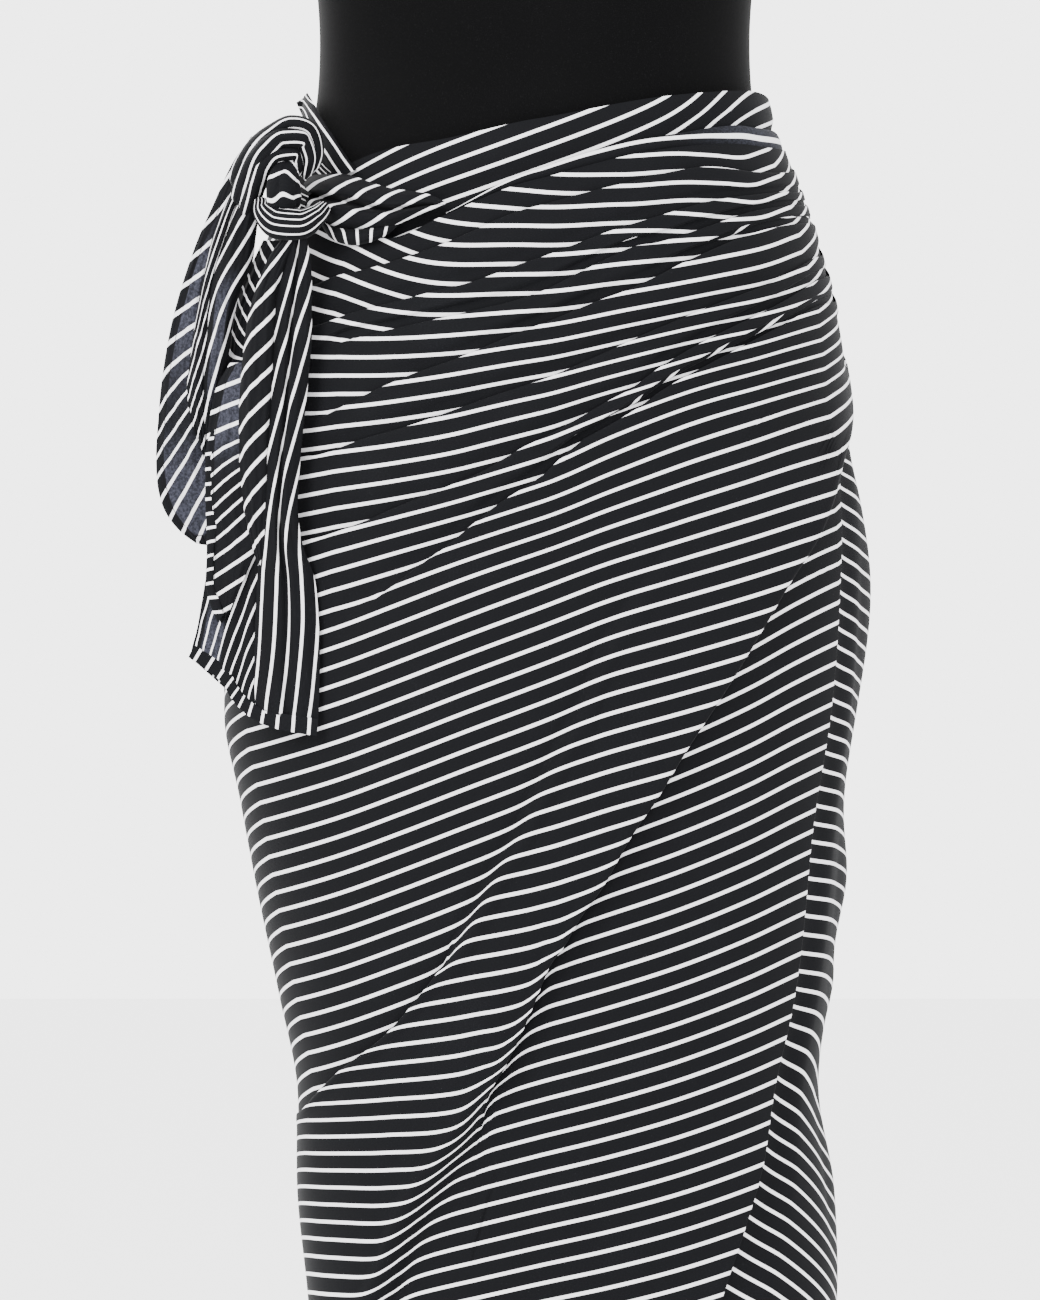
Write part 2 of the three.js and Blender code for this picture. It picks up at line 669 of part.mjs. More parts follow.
const poleTop = FORM_BOTTOM - SEAM_GAP;
const poleLength = poleTop - BASE_HEIGHT - SEAM_GAP;
const poleProfile = [[0, 0], [POLE_RADIUS, 0], [POLE_RADIUS, poleLength], [0, poleLength]];
add("pole", lathe(poleProfile, 24).translate(0, 0, BASE_HEIGHT + SEAM_GAP), METAL_COLOUR, 0.35, 1);
const baseProfile = [[0, 0], [BASE_RADIUS - 2, 0], [BASE_RADIUS, 2], [BASE_RADIUS, 7], [BASE_RADIUS - 5, 11],
  [60, 15], [30, BASE_HEIGHT], [0, BASE_HEIGHT]];
add("base", lathe(baseProfile, 32), METAL_COLOUR, 0.4, 0.9);

export default group;
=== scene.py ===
import math

import bpy
import numpy as np
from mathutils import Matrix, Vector


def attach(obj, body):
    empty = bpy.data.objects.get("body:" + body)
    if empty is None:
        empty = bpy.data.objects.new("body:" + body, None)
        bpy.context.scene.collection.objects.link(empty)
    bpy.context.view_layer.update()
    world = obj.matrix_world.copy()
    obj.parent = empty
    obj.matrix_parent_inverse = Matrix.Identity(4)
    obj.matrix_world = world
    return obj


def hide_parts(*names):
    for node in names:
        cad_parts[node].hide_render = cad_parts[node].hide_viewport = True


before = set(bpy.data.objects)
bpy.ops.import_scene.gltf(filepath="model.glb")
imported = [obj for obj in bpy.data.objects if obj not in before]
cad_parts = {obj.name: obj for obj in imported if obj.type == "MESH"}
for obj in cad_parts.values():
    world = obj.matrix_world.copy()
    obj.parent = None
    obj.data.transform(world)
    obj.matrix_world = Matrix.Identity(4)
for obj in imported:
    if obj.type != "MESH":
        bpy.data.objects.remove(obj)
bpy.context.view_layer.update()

MM = 0.001
PITCH = 10.3  # from stripe to stripe
STRIPE = 2.1  # width of a white stripe
HEM = 6.5
ROUNDNESS = 2.25  # exponent of the body's oval sections
UNDER_DEPTH = 6.4  # the layer against the form lies this far in from the outer surface
OUTER_OUT = -1.0  # the outer layer lies this far out from the outer surface
HIP_HEIGHT = 870.0
FORM_BOTTOM = 742
FORM_TOP = 1590  # the neck cap begins here
POLE_RADIUS = 16
CLEARANCE = 0.3  # between the form, its cap and its pole
BASE_HEIGHT = 20
NO_SEAM = 50.0  # distance from a seam for cloth that has none near

# The photograph: its size, the pixel on the form's axis, the height at its top edge and its scale.
PHOTO_WIDE = 1040
PHOTO_HIGH = 1300
AXIS_PIXEL = 535
TOP_HEIGHT = 1128.9
MM_PER_PIXEL = 0.575
CAMERA_DISTANCE = 5.2


# ---------------------------------------------------------------- curves and the body's sections

class Curve:
    """Smooth curve through (at, value) points that never overshoots them."""

    def __init__(self, points):
        points = sorted(points)
        self.at = np.array([p[0] for p in points], float)
        self.value = np.array([p[1] for p in points], float)
        step = np.diff(self.value) / np.diff(self.at)
        slope = np.concatenate([[step[0]], (step[:-1] + step[1:]) / 2, [step[-1]]])
        for i in range(1, len(slope) - 1):
            if step[i - 1] * step[i] <= 0:
                slope[i] = 0
            else:
                limit = 3 * min(abs(step[i - 1]), abs(step[i]))
                slope[i] = math.copysign(min(abs(slope[i]), limit), slope[i])
        self.slope = slope

    def __call__(self, at):
        at = np.clip(np.asarray(at, float), self.at[0], self.at[-1])
        i = np.clip(np.searchsorted(self.at, at, side="right") - 1, 0, len(self.at) - 2)
        span = self.at[i + 1] - self.at[i]
        t = (at - self.at[i]) / span
        t2, t3 = t * t, t * t * t
        return (
            (2 * t3 - 3 * t2 + 1) * self.value[i]
            + (t3 - 2 * t2 + t) * span * self.slope[i]
            + (3 * t2 - 2 * t3) * self.value[i + 1]
            + (t3 - t2) * span * self.slope[i + 1]
        )


def ramp(value, low, high):
    """0 below low, 1 above high, smooth between."""
    t = np.clip((np.asarray(value, float) - low) / (high - low), 0, 1)
    return t * t * (3 - 2 * t)


def mix(a, b, t):
    return a + (b - a) * t


# height: half widths to the form's right and left, depths to front and back
SECTIONS = [
    (100, 117, 165, 96, 94),
    (200, 121, 170, 99, 97),
    (300, 127, 175, 102, 100),
    (381, 133, 178, 105, 103),
    (439, 139, 173, 107, 105),
    (496, 140, 166.5, 109, 107),
    (554, 151, 173, 113, 111),
    (611, 163, 178.5, 118, 117),
    (669, 174, 182, 123, 123),
    (718, 183, 188, 126, 128),
    (755, 183, 191, 127, 131),
    (798, 181, 192.5, 126, 133),
    (841, 179, 190, 125, 134),
    (870, 179, 185.5, 124, 134),
    (899, 178.5, 184, 123, 133),
    (928, 176.5, 182, 121, 130),
    (956, 170, 177, 118, 126),
    (985, 161.5, 169, 114, 120),
    (1020, 149, 158, 109, 113),
    (1050, 140.5, 147, 104, 107),
    (1071, 136.5, 140.5, 101, 103),
    (1085, 135, 137, 99, 101),
    (1110, 133.5, 135, 97, 99),
]
BODY = [Curve([(row[0], row[k]) for row in SECTIONS]) for k in (1, 2, 3, 4)]


def oval(sizes, turn, z, out):
    """Points of an oval section; turn is 0 in front and 90 at the form's left side."""
    right_side, left_side, front, back = sizes
    s, c = np.sin(np.radians(turn)), np.cos(np.radians(turn))
    wide = np.where(s < 0, right_side, left_side)
    deep = np.where(c > 0, front, back)
    power = 2 / ROUNDNESS
    x = wide * np.sign(s) * np.abs(s) ** power
    y = -deep * np.sign(c) * np.abs(c) ** power
    nx = np.sign(x) * np.abs(x / wide) ** (ROUNDNESS - 1) / wide
    ny = np.sign(y) * np.abs(y / deep) ** (ROUNDNESS - 1) / deep
    length = np.hypot(nx, ny)
    return np.stack([x + nx / length * out, y + ny / length * out, z + 0 * x], axis=-1)


def skirt_point(turn, z, out):
    turn, z, out = np.broadcast_arrays(np.asarray(turn, float), z, out)
    return oval([curve(z) for curve in BODY], turn, z, out)


def turn_at(x, z):
    """The turn at which the skirt's front passes the sideways place x."""
    wide = np.where(np.asarray(x) < 0, BODY[0](z), BODY[1](z))
    share = np.minimum(0.9999, np.abs(x) / wide)
    return np.sign(x) * np.degrees(np.arcsin(share ** (ROUNDNESS / 2)))


def line(before, places, after):
    """Height by turn, from plain (turn, z) ends and (x, z) places on the skirt's front."""
    middle = [(float(turn_at(x, z)), z) for x, z in places]
    return Curve(list(before) + middle + list(after))


# Arc length round the body by turn, at hip height
_turns = np.linspace(-180, 360, 1081)
_ring = skirt_point(_turns, HIP_HEIGHT, 0.0)
_arc = np.concatenate([[0], np.cumsum(np.linalg.norm(np.diff(_ring, axis=0), axis=1))])
ARC = Curve(list(zip(_turns, _arc - np.interp(0, _turns, _arc))))


# ---------------------------------------------------------------- where the layers run

FREE_EDGE = [(45, 100), (62, 200), (86, 300), (110, 387), (122, 422), (135, 470), (145, 525), (153, 564),
             (160, 632), (170, 698), (177, 760), (179, 795), (180, 824), (179, 857)]
free_edge_turn = Curve([(z, float(turn_at(x, z))) for x, z in FREE_EDGE]
                       + [(900, 90), (930, 97), (950, 104), (962, 106)])
SIDE_TURN = 106  # the outer layer's gathered corner goes on from here as a band round the back
RIGHT_TURN = -98
UNDER_TURNS = (-62, 262)  # where the layer against the form begins and ends
ROLL_TURN = -17  # where the rolled edge begins
BAND_TURN = 306  # where the gathered corner goes into the knot

under_top = line([(-60, 1030)],
                 [(-109, 1037), (-94, 1042), (-78, 1045.5), (-49, 1050), (14, 1063), (60, 1072), (95, 1077),
                  (128, 1080)],
                 [(90, 1077), (130, 1073), (180, 1068), (225, 1058), (262, 1036)])
outer_top = line([(-98, 1036), (-84, 1026), (-60, 1006)],
                 [(-85, 992), (-52, 1005), (-20, 1019), (3, 1026), (28, 1033), (60, 1041), (99, 1047),
                  (121, 1048), (136, 1047)],
                 [(90, 1047), (106, 1050)])
upper_fold = line([(-98, 455)],
                  [(-141, 476), (-130, 489), (-111, 510), (-83, 534), (-67, 553), (-49, 578), (-37, 600),
                   (-22, 629), (-7, 656), (5, 681), (18, 707), (29, 728), (38, 752), (52, 775), (90, 826),
                   (130, 872), (160, 905)],
                  [(90, 935), (106, 955)])
lower_fold = line([(-98, 270), (-70, 305)],
                  [(-86, 382), (-71, 421), (-63, 437), (-51, 457), (-38, 477), (-26, 502), (-16, 519),
                   (-3, 548), (7, 573), (16, 586), (25, 602), (37, 619), (53, 648), (69, 672), (85, 699),
                   (103, 727), (128, 769), (143, 795), (159, 821), (172, 858)],
                  [(90, 900), (106, 948)])


def hem_outer(turn):
    return 100 + 14 * ramp(turn, -30, 20) + 10 * ramp(-turn, 60, 98)


def hem_under(turn):
    return 100 + 42 * (1 - ramp(turn, 0, 95)) + 10 * ramp(turn, 200, 262)


HOLLOWS = [(128, 7, 14, 760), (160, 9, 12, 700), (196, 8, 13, 740), (226, 9, 12, 690), (252, 5, 9, 640)]


def hollow(turn, z):
    """Soft vertical hollows of the hanging cloth: turn, depth, half width in degrees, top."""
    turn = np.where(turn < -60, turn + 360, turn)
    total = 0 * z
    for at, depth, width, top in HOLLOWS:
        off = (turn - at - (top - z) * 0.012) / width
        total = total + depth * np.exp(-off * off) * (1 - ramp(z, top - 160, top))
    return -total


# Soft bulges where the under layer shows behind the free edge: height, stand, half height
SIDE_BULGES = [(785, 6, 60), (622, 5, 30), (560, 2.5, 16), (445, 4, 45)]


def under_depth(turn, z):
    edge = free_edge_turn(np.minimum(z, 868))
    shows = ramp(turn - edge, 4, 14)
    low = 1 - ramp(z, 862, 955)
    at_seam = ramp(turn, 215, 255)
    beside = ramp(turn, 80, 92) * (1 - ramp(turn, 112, 140))
    bulge = sum(stand * np.exp(-(((z - at) / half) ** 2)) for at, stand, half in SIDE_BULGES) * beside
    bare = ramp(z - outer_top(turn), 8, 22) * ramp(turn, -60, -25)
    depth = mix(mix(UNDER_DEPTH, 1, shows * low), 1, np.maximum(at_seam, low * ramp(turn, 110, 130)))
    return bulge - mix(depth, 1.5, bare * (1 - ramp(turn, 108, 128)))


# ---------------------------------------------------------------- rows of a sheet

def level(turn, value):
    return 0 * turn + value


class Rows:
    """A sheet as rows, top to bottom. Each row gives z, out and the stripe coordinate v by turn."""

    def __init__(self):
        self.rows = []

    def add(self, z, out, v):
        self.rows.append((z, out, v))

    def grid(self, first, end_turn, columns):
        """Points, turn and v: columns run from the first turn to the end turn at each height."""
        share = np.linspace(0, 1, columns)
        points, coords = [], []
        for z, out, v in self.rows:
            turn = mix(first, end_turn(z(level(share, 0.0))), share)
            for _ in range(40):
                turn = mix(turn, mix(first, end_turn(z(turn)), share), 0.5)
            points.append(skirt_point(turn, z(turn), out(turn)))
            coords.append(np.stack([ARC(turn), v(turn)], axis=-1))
        return np.array(points), np.array(coords)


FULL_ROOM = 14  # mm free beside a fold's line that let it have its full width
FOLD_END = 0.88  # height left at the last row of a fold, as a share of its stand
OPEN_FOLD = 5  # mm of hidden cloth from which a fold overlaps itself fully

# Rows through the three layers of a fold whose lower side lies on top: place across the fold in mm,
# positive below its line; share of the hidden depth that is added; place where the fold has faded;
# height as a share of the fold's stand; and share of the hidden cloth that is passed.
FOLD_ROWS = [
    (-6.0, 0, -6.0, 0.00, 0.00), (-3.2, 0, -4.6, 0.00, 0.00), (-1.4, 0, -3.4, -0.04, 0.00),
    (0.4, 0, -2.4, -0.08, 0.08), (0, 0.6, -1.8, -0.06, 0.30), (0, 1, -1.2, 0.04, 0.46),
    (0.6, 1, -0.7, 0.22, 0.50), (0, 1, -0.2, 0.42, 0.54), (0, 0.5, 0.2, 0.52, 0.76),
    (0.5, 0, 0.6, 0.62, 0.92), (-0.7, 0, 1.0, 0.76, 0.97), (-0.9, 0, 1.6, 0.90, 1.00),
    (-0.3, 0, 2.4, 1.00, 1.00), (1.2, 0, 3.4, 1.04, 1.00), (3.2, 0, 4.6, 1.00, 1.00),
    (6.0, 0, 6.0, FOLD_END, 1.00)]


def slant(at, turn):
    """Height passed for each mm across a line that rises as it goes round."""
    rise = (at(turn + 0.4) - at(turn - 0.4)) / (ARC(turn + 0.4) - ARC(turn - 0.4))
    return np.sqrt(1 + rise * rise)


def room_share(room, turn):
    return np.clip(room(turn) / FULL_ROOM, 0.25, 1)


def fold(rows, at, height, hidden, v_above, v_below, room, upper_on_top=False, low=0.0, spread=None):
    """One fold across a sheet, from above its line to below it.

    at, height, hidden and room give by turn the line's height, how far the fold stands out, the
    length of cloth it hides and the width free on each side. low lowers the side that lies below,
    and spread widens the bend where the fold has faded.
    """
    profile = FOLD_ROWS
    if upper_on_top:
        profile = [(-p, -q, -f, h, 1 - s) for p, q, f, h, s in reversed(FOLD_ROWS)]
    for place, deep, faded, up, passed in profile:
        def across(turn, place=place, deep=deep, faded=faded):
            width = room_share(room, turn)
            amount = ramp(hidden(turn), 0, OPEN_FOLD)
            depth = np.minimum(np.maximum(hidden(turn) - 2.5, 0.6) / 2, 0.75 * room(turn))
            wider = spread(turn) if spread else 1
            return mix(faded * width * wider, place * width + deep * depth, amount)

        def z(turn, across=across):
            return at(turn) - across(turn) * slant(at, turn)

        def out(turn, z=z, up=up):
            stand = height(turn) * up
            if low and up <= 0.3:
                stand = stand - low(turn) * (0.3 - up) / 0.38
            return OUTER_OUT + stand + hollow(turn, z(turn))

        def v(turn, z=z, passed=passed):
            amount = ramp(hidden(turn), 0, OPEN_FOLD)
            here = z(turn)
            flat = np.where(here > at(turn), v_above(turn, here), v_below(turn, here))
            inside = mix(v_above(turn, at(turn)), v_below(turn, at(turn)), passed)
            if passed <= 0:
                inside = v_above(turn, here if upper_on_top else np.maximum(here, at(turn)))
            if passed >= 1:
                inside = v_below(turn, np.minimum(here, at(turn)) if upper_on_top else here)
            return mix(flat, inside, amount)

        rows.add(z, out, v)


def slope_run(points):
    """Rise of the stripes by turn, from their slope in degrees at places round the body in mm."""
    arcs = np.linspace(-420, 1000, 2841)
    slopes = np.tan(np.radians(Curve(points)(arcs)))
    rise = np.concatenate([[0], np.cumsum((slopes[1:] + slopes[:-1]) / 2 * np.diff(arcs))])
    rise = rise - np.interp(0, arcs, rise)
    return lambda turn: np.interp(ARC(turn), arcs, rise)


SEEN_TURN = 66  # the skirt's front is seen plainly out to this turn
STRIPE_COS = 0.94  # height of a stripe's pitch, against the pitch
HEM_V = 96.0  # stripe coordinate at the hem


def sideways(turn, z):
    """Place across the front in mm, as seen from the front, going on as arc length past the sides."""
    wide = np.where(np.asarray(turn) < 0, BODY[0](z), BODY[1](z))
    seen = np.clip(turn, -SEEN_TURN, SEEN_TURN)
    share = np.sign(seen) * np.abs(np.sin(np.radians(seen))) ** (2 / ROUNDNESS)
    beyond = (ARC(turn) - ARC(seen)) / BODY[0](HIP_HEIGHT)
    return wide * (share + beyond)


# How far one stripe of the outer layer rises, by place across the front: above the diagonal folds, how
# much lower it runs beside the pleats, and below the folds at two heights
broad_rise = Curve([(-260, -82), (-230, -76), (-190, -66), (-150, -55), (-112, -43.3), (-78, -30.7),
                    (-37, -14.9), (3, 0), (43, 15.1), (83, 27.4), (124, 40.2), (152, 50.1), (186, 62),
                    (230, 72), (300, 80)])
pleated_dip = Curve([(-260, 0), (-190, 0), (-112, -2.5), (-78, -6), (-37, -9), (3, -9), (43, -5), (83, -1),
                     (120, 0), (300, 0)])
top_dip = Curve([(-260, 0), (-150, 0), (-112, -5), (-83, -9), (-49, -13), (-14, -17), (20, -21), (55, -22),
                 (89, -21), (124, -19), (152, -17), (190, -15), (300, -12)])
low_rise = Curve([(-260, -62), (-190, -47), (-120, -29), (-78, -19), (-37, -9.3), (3, 0), (43, 8.4),
                  (83, 17.9), (124, 29.5), (152, 38), (190, 49), (300, 70)])
mid_rise = Curve([(-260, -74), (-190, -57), (-120, -36), (-78, -24), (-37, -12), (3, 0), (43, 12.1),
                  (83, 24.9), (124, 40.2), (152, 52), (190, 66), (300, 96)])


def broad_v(turn, z):
    """Stripe coordinate above both diagonal folds."""
    h = sideways(turn, z)
    dip = mix(pleated_dip(h) * ramp(z, 790, 880), top_dip(h), ramp(z - 15 * ramp(h, 30, 110), 870, 960))
    return STRIPE_COS * (z - broad_rise(h) - dip) + 4.0


def between_v(turn, z):
    """Stripe coordinate between the diagonal folds."""
    h = sideways(turn, z)
    return broad_v(turn, z) - upper_shift(h) - sagging(h) * (1 - ramp(z, 393, 570))


def below_v(turn, z):
    """Stripe coordinate below both diagonal folds. Near the floor the stripes turn to follow the hem."""
    h = sideways(turn, z)
    up = (np.clip(z, 300, 800) - 400) / 210
    free = 0.976 * (z - mix(low_rise(h), mid_rise(h), up)) - 46.95
    return mix(free, HEM_V + z - hem_outer(turn), 1 - ramp(z, 110, 370))


# Cloth taken in by each diagonal fold, by place across the front, and how much of it still shows as
# stripes that bend along the fold
upper_shift = Curve([(-260, 31), (-190, 31), (-150, 29), (-112, 24), (-78, 18.4), (-37, 10.4), (3, 3.8),
                     (43, 1.3), (80, 0.3), (110, 0), (300, 0)])
upper_soft = Curve([(-260, 0.1), (-80, 0.15), (-62, 0.35), (-48, 0.9), (-36, 1), (300, 1)])
upper_bend = Curve([(-260, 4), (-60, 3), (-37, 3), (-14, 4.5), (3, 6), (43, 10), (300, 12)])
sagging = Curve([(-260, 20), (-150, 18), (-112, 14), (-83, 8), (-40, 0), (300, 0)])
lower_soft = Curve([(-260, 1), (-37, 1), (-20, 0.75), (3, 0.42), (43, 0.16), (83, 0.03), (300, 0.03)])
lower_bend = Curve([(-260, 12), (-78, 9), (-37, 7), (3, 5), (43, 4), (300, 3)])


def bend(at, turn, z, width):
    """0 well above a fold's line, 1 well below, changing fastest at the line."""
    off = (at(turn) - z) / slant(at, turn)
    return 0.5 + 0.5 * off / np.sqrt(off * off + width * width)


def upper_part(turn, z):
    h = sideways(turn, z)
    return upper_soft(h) * (broad_v(turn, z) - between_v(turn, z)), bend(upper_fold, turn, z, upper_bend(h))


def lower_part(turn, z):
    h = sideways(turn, z)
    return lower_soft(h) * (between_v(turn, z) - below_v(turn, z)), bend(lower_fold, turn, z, lower_bend(h))


def main_v(turn, z):
    taken, passed = upper_part(turn, z)
    return broad_v(turn, z) - taken * passed * (1 - ramp(z, 900, 960))


def roll_v(turn, z):
    taken, passed = upper_part(turn, z)
    shown, gone = lower_part(turn, z)
    return between_v(turn, z) + taken * (1 - passed) - shown * gone


def low_v(turn, z):
    shown, gone = lower_part(turn, z)
    return below_v(turn, z) + shown * (1 - gone)


def upper_hidden(turn):
    z = upper_fold(turn)
    h = sideways(turn, z)
    return (1 - upper_soft(h)) * np.maximum(broad_v(turn, z) - between_v(turn, z), 0)


def lower_hidden(turn):
    z = lower_fold(turn)
    h = sideways(turn, z)
    return (1 - lower_soft(h)) * np.maximum(between_v(turn, z) - below_v(turn, z), 0)


def by_arc(points):
    curve = Curve(points)
    return lambda turn: curve(ARC(turn))


# Pleats from the lowest to the highest: line on the front, height at the right and left ends,
# length of hidden cloth by place round the body, stand in mm, and where the stand begins.
PLEATS = [
    dict(places=[(-129, 762), (-101, 778), (-71, 800), (-64, 805), (-47, 817), (-36, 826), (-22, 837),
                 (0, 851), (22, 871), (44, 884), (60, 894), (72, 903), (102, 920), (131, 936), (160, 952)],
         left=752, right=(961, 974), stand=3.6, begin=(-120, -40),
         hidden=[(-118, 0), (-60, 3), (0, 5), (60, 7), (110, 9), (170, 12), (300, 12)]),
    dict(places=[(-129, 818), (-97, 828), (-79, 836), (-47, 849), (-29, 857), (9, 878), (40, 896),
                 (53, 903), (72, 917), (99, 933), (132, 950), (162, 968)],
         left=812, right=(976, 990), stand=4.0, begin=(-190, -100),
         hidden=[(-190, 0), (-160, 3), (-110, 7), (-50, 11), (0, 14), (60, 17), (110, 20), (170, 21),
                 (300, 20)]),
    dict(places=[(-129, 866), (-96, 876), (-68, 884), (-20, 901), (-5, 906), (23, 917), (43, 926),
                 (64, 936), (101, 952), (128, 963), (160, 981)],
         left=872, right=(988, 1002), stand=3.4, begin=(-190, -110),
         hidden=[(-190, 0), (-150, 5), (-50, 7), (60, 9), (110, 10), (170, 11), (300, 11)]),
    dict(places=[(-129, 888), (-109, 896), (-90, 904), (-68, 913), (-45, 921), (-14, 934), (9, 943),
                 (35, 954), (51, 960), (68, 968), (87, 978), (122, 994), (152, 1002)],
         left=896, right=(1004, 1014), stand=4.4, begin=(-150, -60),
         hidden=[(-150, 0), (-110, 3), (-50, 8), (0, 11), (60, 15), (90, 17), (130, 21), (165, 24),
                 (300, 24)]),
    dict(places=[(-129, 922), (-112, 932), (-84, 938), (-34, 949), (-7, 956), (26, 971), (57, 986),
                 (69, 988), (96, 997), (122, 1007), (150, 1013)],
         left=930, right=(1015, 1024), stand=3.2, begin=(-125, -50),
         hidden=[(-125, 0), (-66, 8), (-20, 10), (60, 13), (90, 15), (130, 19), (165, 22), (300, 22)]),
    dict(places=[(-129, 941), (-105, 948), (-73, 956), (-58, 960), (-37, 965), (-7, 976), (13, 983),
                 (41, 994), (75, 1005), (101, 1013), (140, 1020)],
         left=952, right=(1024, 1033), stand=3.0, begin=(-190, -120),
         hidden=[(-190, 0), (-160, 3), (-110, 9), (-60, 14), (0, 15), (60, 16), (110, 12), (170, 10),
                 (300, 10)]),
    dict(places=[(-129, 965), (-113, 970), (-94, 974), (-59, 985), (-37, 994), (-20, 1002), (1, 1009),
                 (26, 1016), (57, 1024), (72, 1028), (101, 1033), (127, 1031)],
         left=985, right=(1036, 1042), stand=3.0, begin=(-190, -120),
         hidden=[(-190, 0), (-160, 3), (-100, 6), (-50, 9), (0, 12), (60, 14), (110, 14), (170, 14),
                 (300, 14)]),
]
for pleat in PLEATS:
    pleat["line"] = line([(-98, pleat["left"])], pleat["places"],
                         [(90, pleat["right"][0]), (106, pleat["right"][1])])
    pleat["hidden_by_turn"] = by_arc(pleat["hidden"])


def outer_stripes(levels_passed):
    """Stripe coordinate of the outer layer above so many pleats, counted from the lowest."""
    def v(turn, z):
        return main_v(turn, z) + sum(p["hidden_by_turn"](turn) for p in PLEATS[:levels_passed])
    return v


def room_of(at, above, below):
    return lambda turn: np.minimum(above(turn) - at(turn), at(turn) - below(turn)) / slant(at, turn)


def fill(rows, above, below, count, out, v):
    """Plain rows between two lines, neither of them included."""
    for i in range(1, count + 1):
        share = i / (count + 1)

        def z(turn, share=share):
            return mix(above(turn), below(turn), share)

        def lift(turn, z=z, share=share):
            return OUTER_OUT + out(turn, share) + hollow(turn, z(turn))

        rows.add(z, lift, lambda turn, z=z: v(turn, z(turn)))


def shifted(at, room, amount):
    return lambda turn: at(turn) - amount * room_share(room, turn) * slant(at, turn)


BESIDE = 6  # mm from a fold's line to the plain rows beside it


def pleat_stand(pleat):
    begin, full = pleat["begin"]
    return lambda turn: (pleat["stand"] * ramp(ARC(turn), begin, full)
                         * (1 - 0.55 * ramp(ARC(turn), 130, 185)))


def settling(stand):
    """Height of the plain cloth below a fold, which sinks from its stand with a soft crown."""
    return lambda turn, share: stand(turn) * ((1 - share) * FOLD_END + 0.35 * np.sin(np.pi * share))


def add_pleats(rows):
    """The pleats, each below its plain band. Gives the last one's lower edge and its stand."""
    lines = [upper_fold, *(pleat["line"] for pleat in PLEATS), outer_top]
    edge = outer_top
    stand = lambda turn: 0 * turn
    for k in reversed(range(len(PLEATS))):
        lower, at, upper = lines[k:k + 3]
        room = room_of(at, upper, lower)
        fill(rows, edge, shifted(at, room, -BESIDE), 7, settling(stand), outer_stripes(k + 1))
        stand = pleat_stand(PLEATS[k])
        fold(rows, at, stand, PLEATS[k]["hidden_by_turn"], outer_stripes(k + 1), outer_stripes(k), room)
        edge = shifted(at, room, BESIDE)
    return edge, stand


def roll(turn):
    """Share of its full stand that the roll between the diagonal folds has."""
    return ramp(turn, -100, -40) * (1 - 0.6 * ramp(turn, 55, 85))


def upper_stand(turn):
    return 6.5 * ramp(turn, -95, -60) * (1 - ramp(turn, 2, 34))


def lower_stand(turn):
    return 9 * roll(turn)


def upper_wide(turn):
    """How much wider the upper fold's bend is, where it hides no cloth."""
    return 1 + 1.0 * (1 - ramp(upper_hidden(turn), 0, OPEN_FOLD))


def lower_wide(turn):
    return 1 + 1.6 * (1 - ramp(lower_hidden(turn), 0, OPEN_FOLD))


def beside(at, wide, amount):
    return lambda turn: at(turn) - amount * wide(turn) * slant(at, turn)


def add_diagonal_folds(rows, edge, stand):
    """The broad part below the pleats, the two diagonal folds with the roll between, and the rest."""
    def room(turn):
        return level(turn, FULL_ROOM)

    def broad(turn, share):
        return stand(turn) * FOLD_END * np.clip(1 - share / 0.35, 0, 1) ** 1.5

    def rolled(turn, share):
        crown = mix(upper_stand(turn) * FOLD_END, lower_stand(turn) * FOLD_END, share ** 1.3)
        return crown + 1.5 * roll(turn) * np.sin(np.pi * share)

    def slope_out(turn, share):
        return -1.4 * roll(turn) * np.clip(1 - share / 0.3, 0, 1)

    fill(rows, edge, beside(upper_fold, upper_wide, -BESIDE), 36, broad, main_v)
    fold(rows, upper_fold, upper_stand, upper_hidden, main_v, roll_v, room, spread=upper_wide)
    fill(rows, beside(upper_fold, upper_wide, BESIDE), beside(lower_fold, lower_wide, -BESIDE), 34,
         rolled, roll_v)
    fold(rows, lower_fold, lower_stand, lower_hidden, roll_v, low_v, room, upper_on_top=True,
         low=lambda turn: 1.4 * roll(turn), spread=lower_wide)
    fill(rows, beside(lower_fold, lower_wide, BESIDE), hem_outer, 62, slope_out, low_v)


OUTER_COLUMNS = 280


def build_outer():
    rows = Rows()
    top_v = outer_stripes(len(PLEATS))
    rows.add(outer_top, lambda turn: level(turn, OUTER_OUT + 0.2), lambda turn: top_v(turn, outer_top(turn)))
    add_diagonal_folds(rows, *add_pleats(rows))
    rows.add(hem_outer, lambda turn: OUTER_OUT + hollow(turn, hem_outer(turn)),
             lambda turn: low_v(turn, hem_outer(turn)))
    return rows.grid(RIGHT_TURN, lambda z: np.minimum(SIDE_TURN, free_edge_turn(z)), OUTER_COLUMNS)


# ---------------------------------------------------------------- meshes

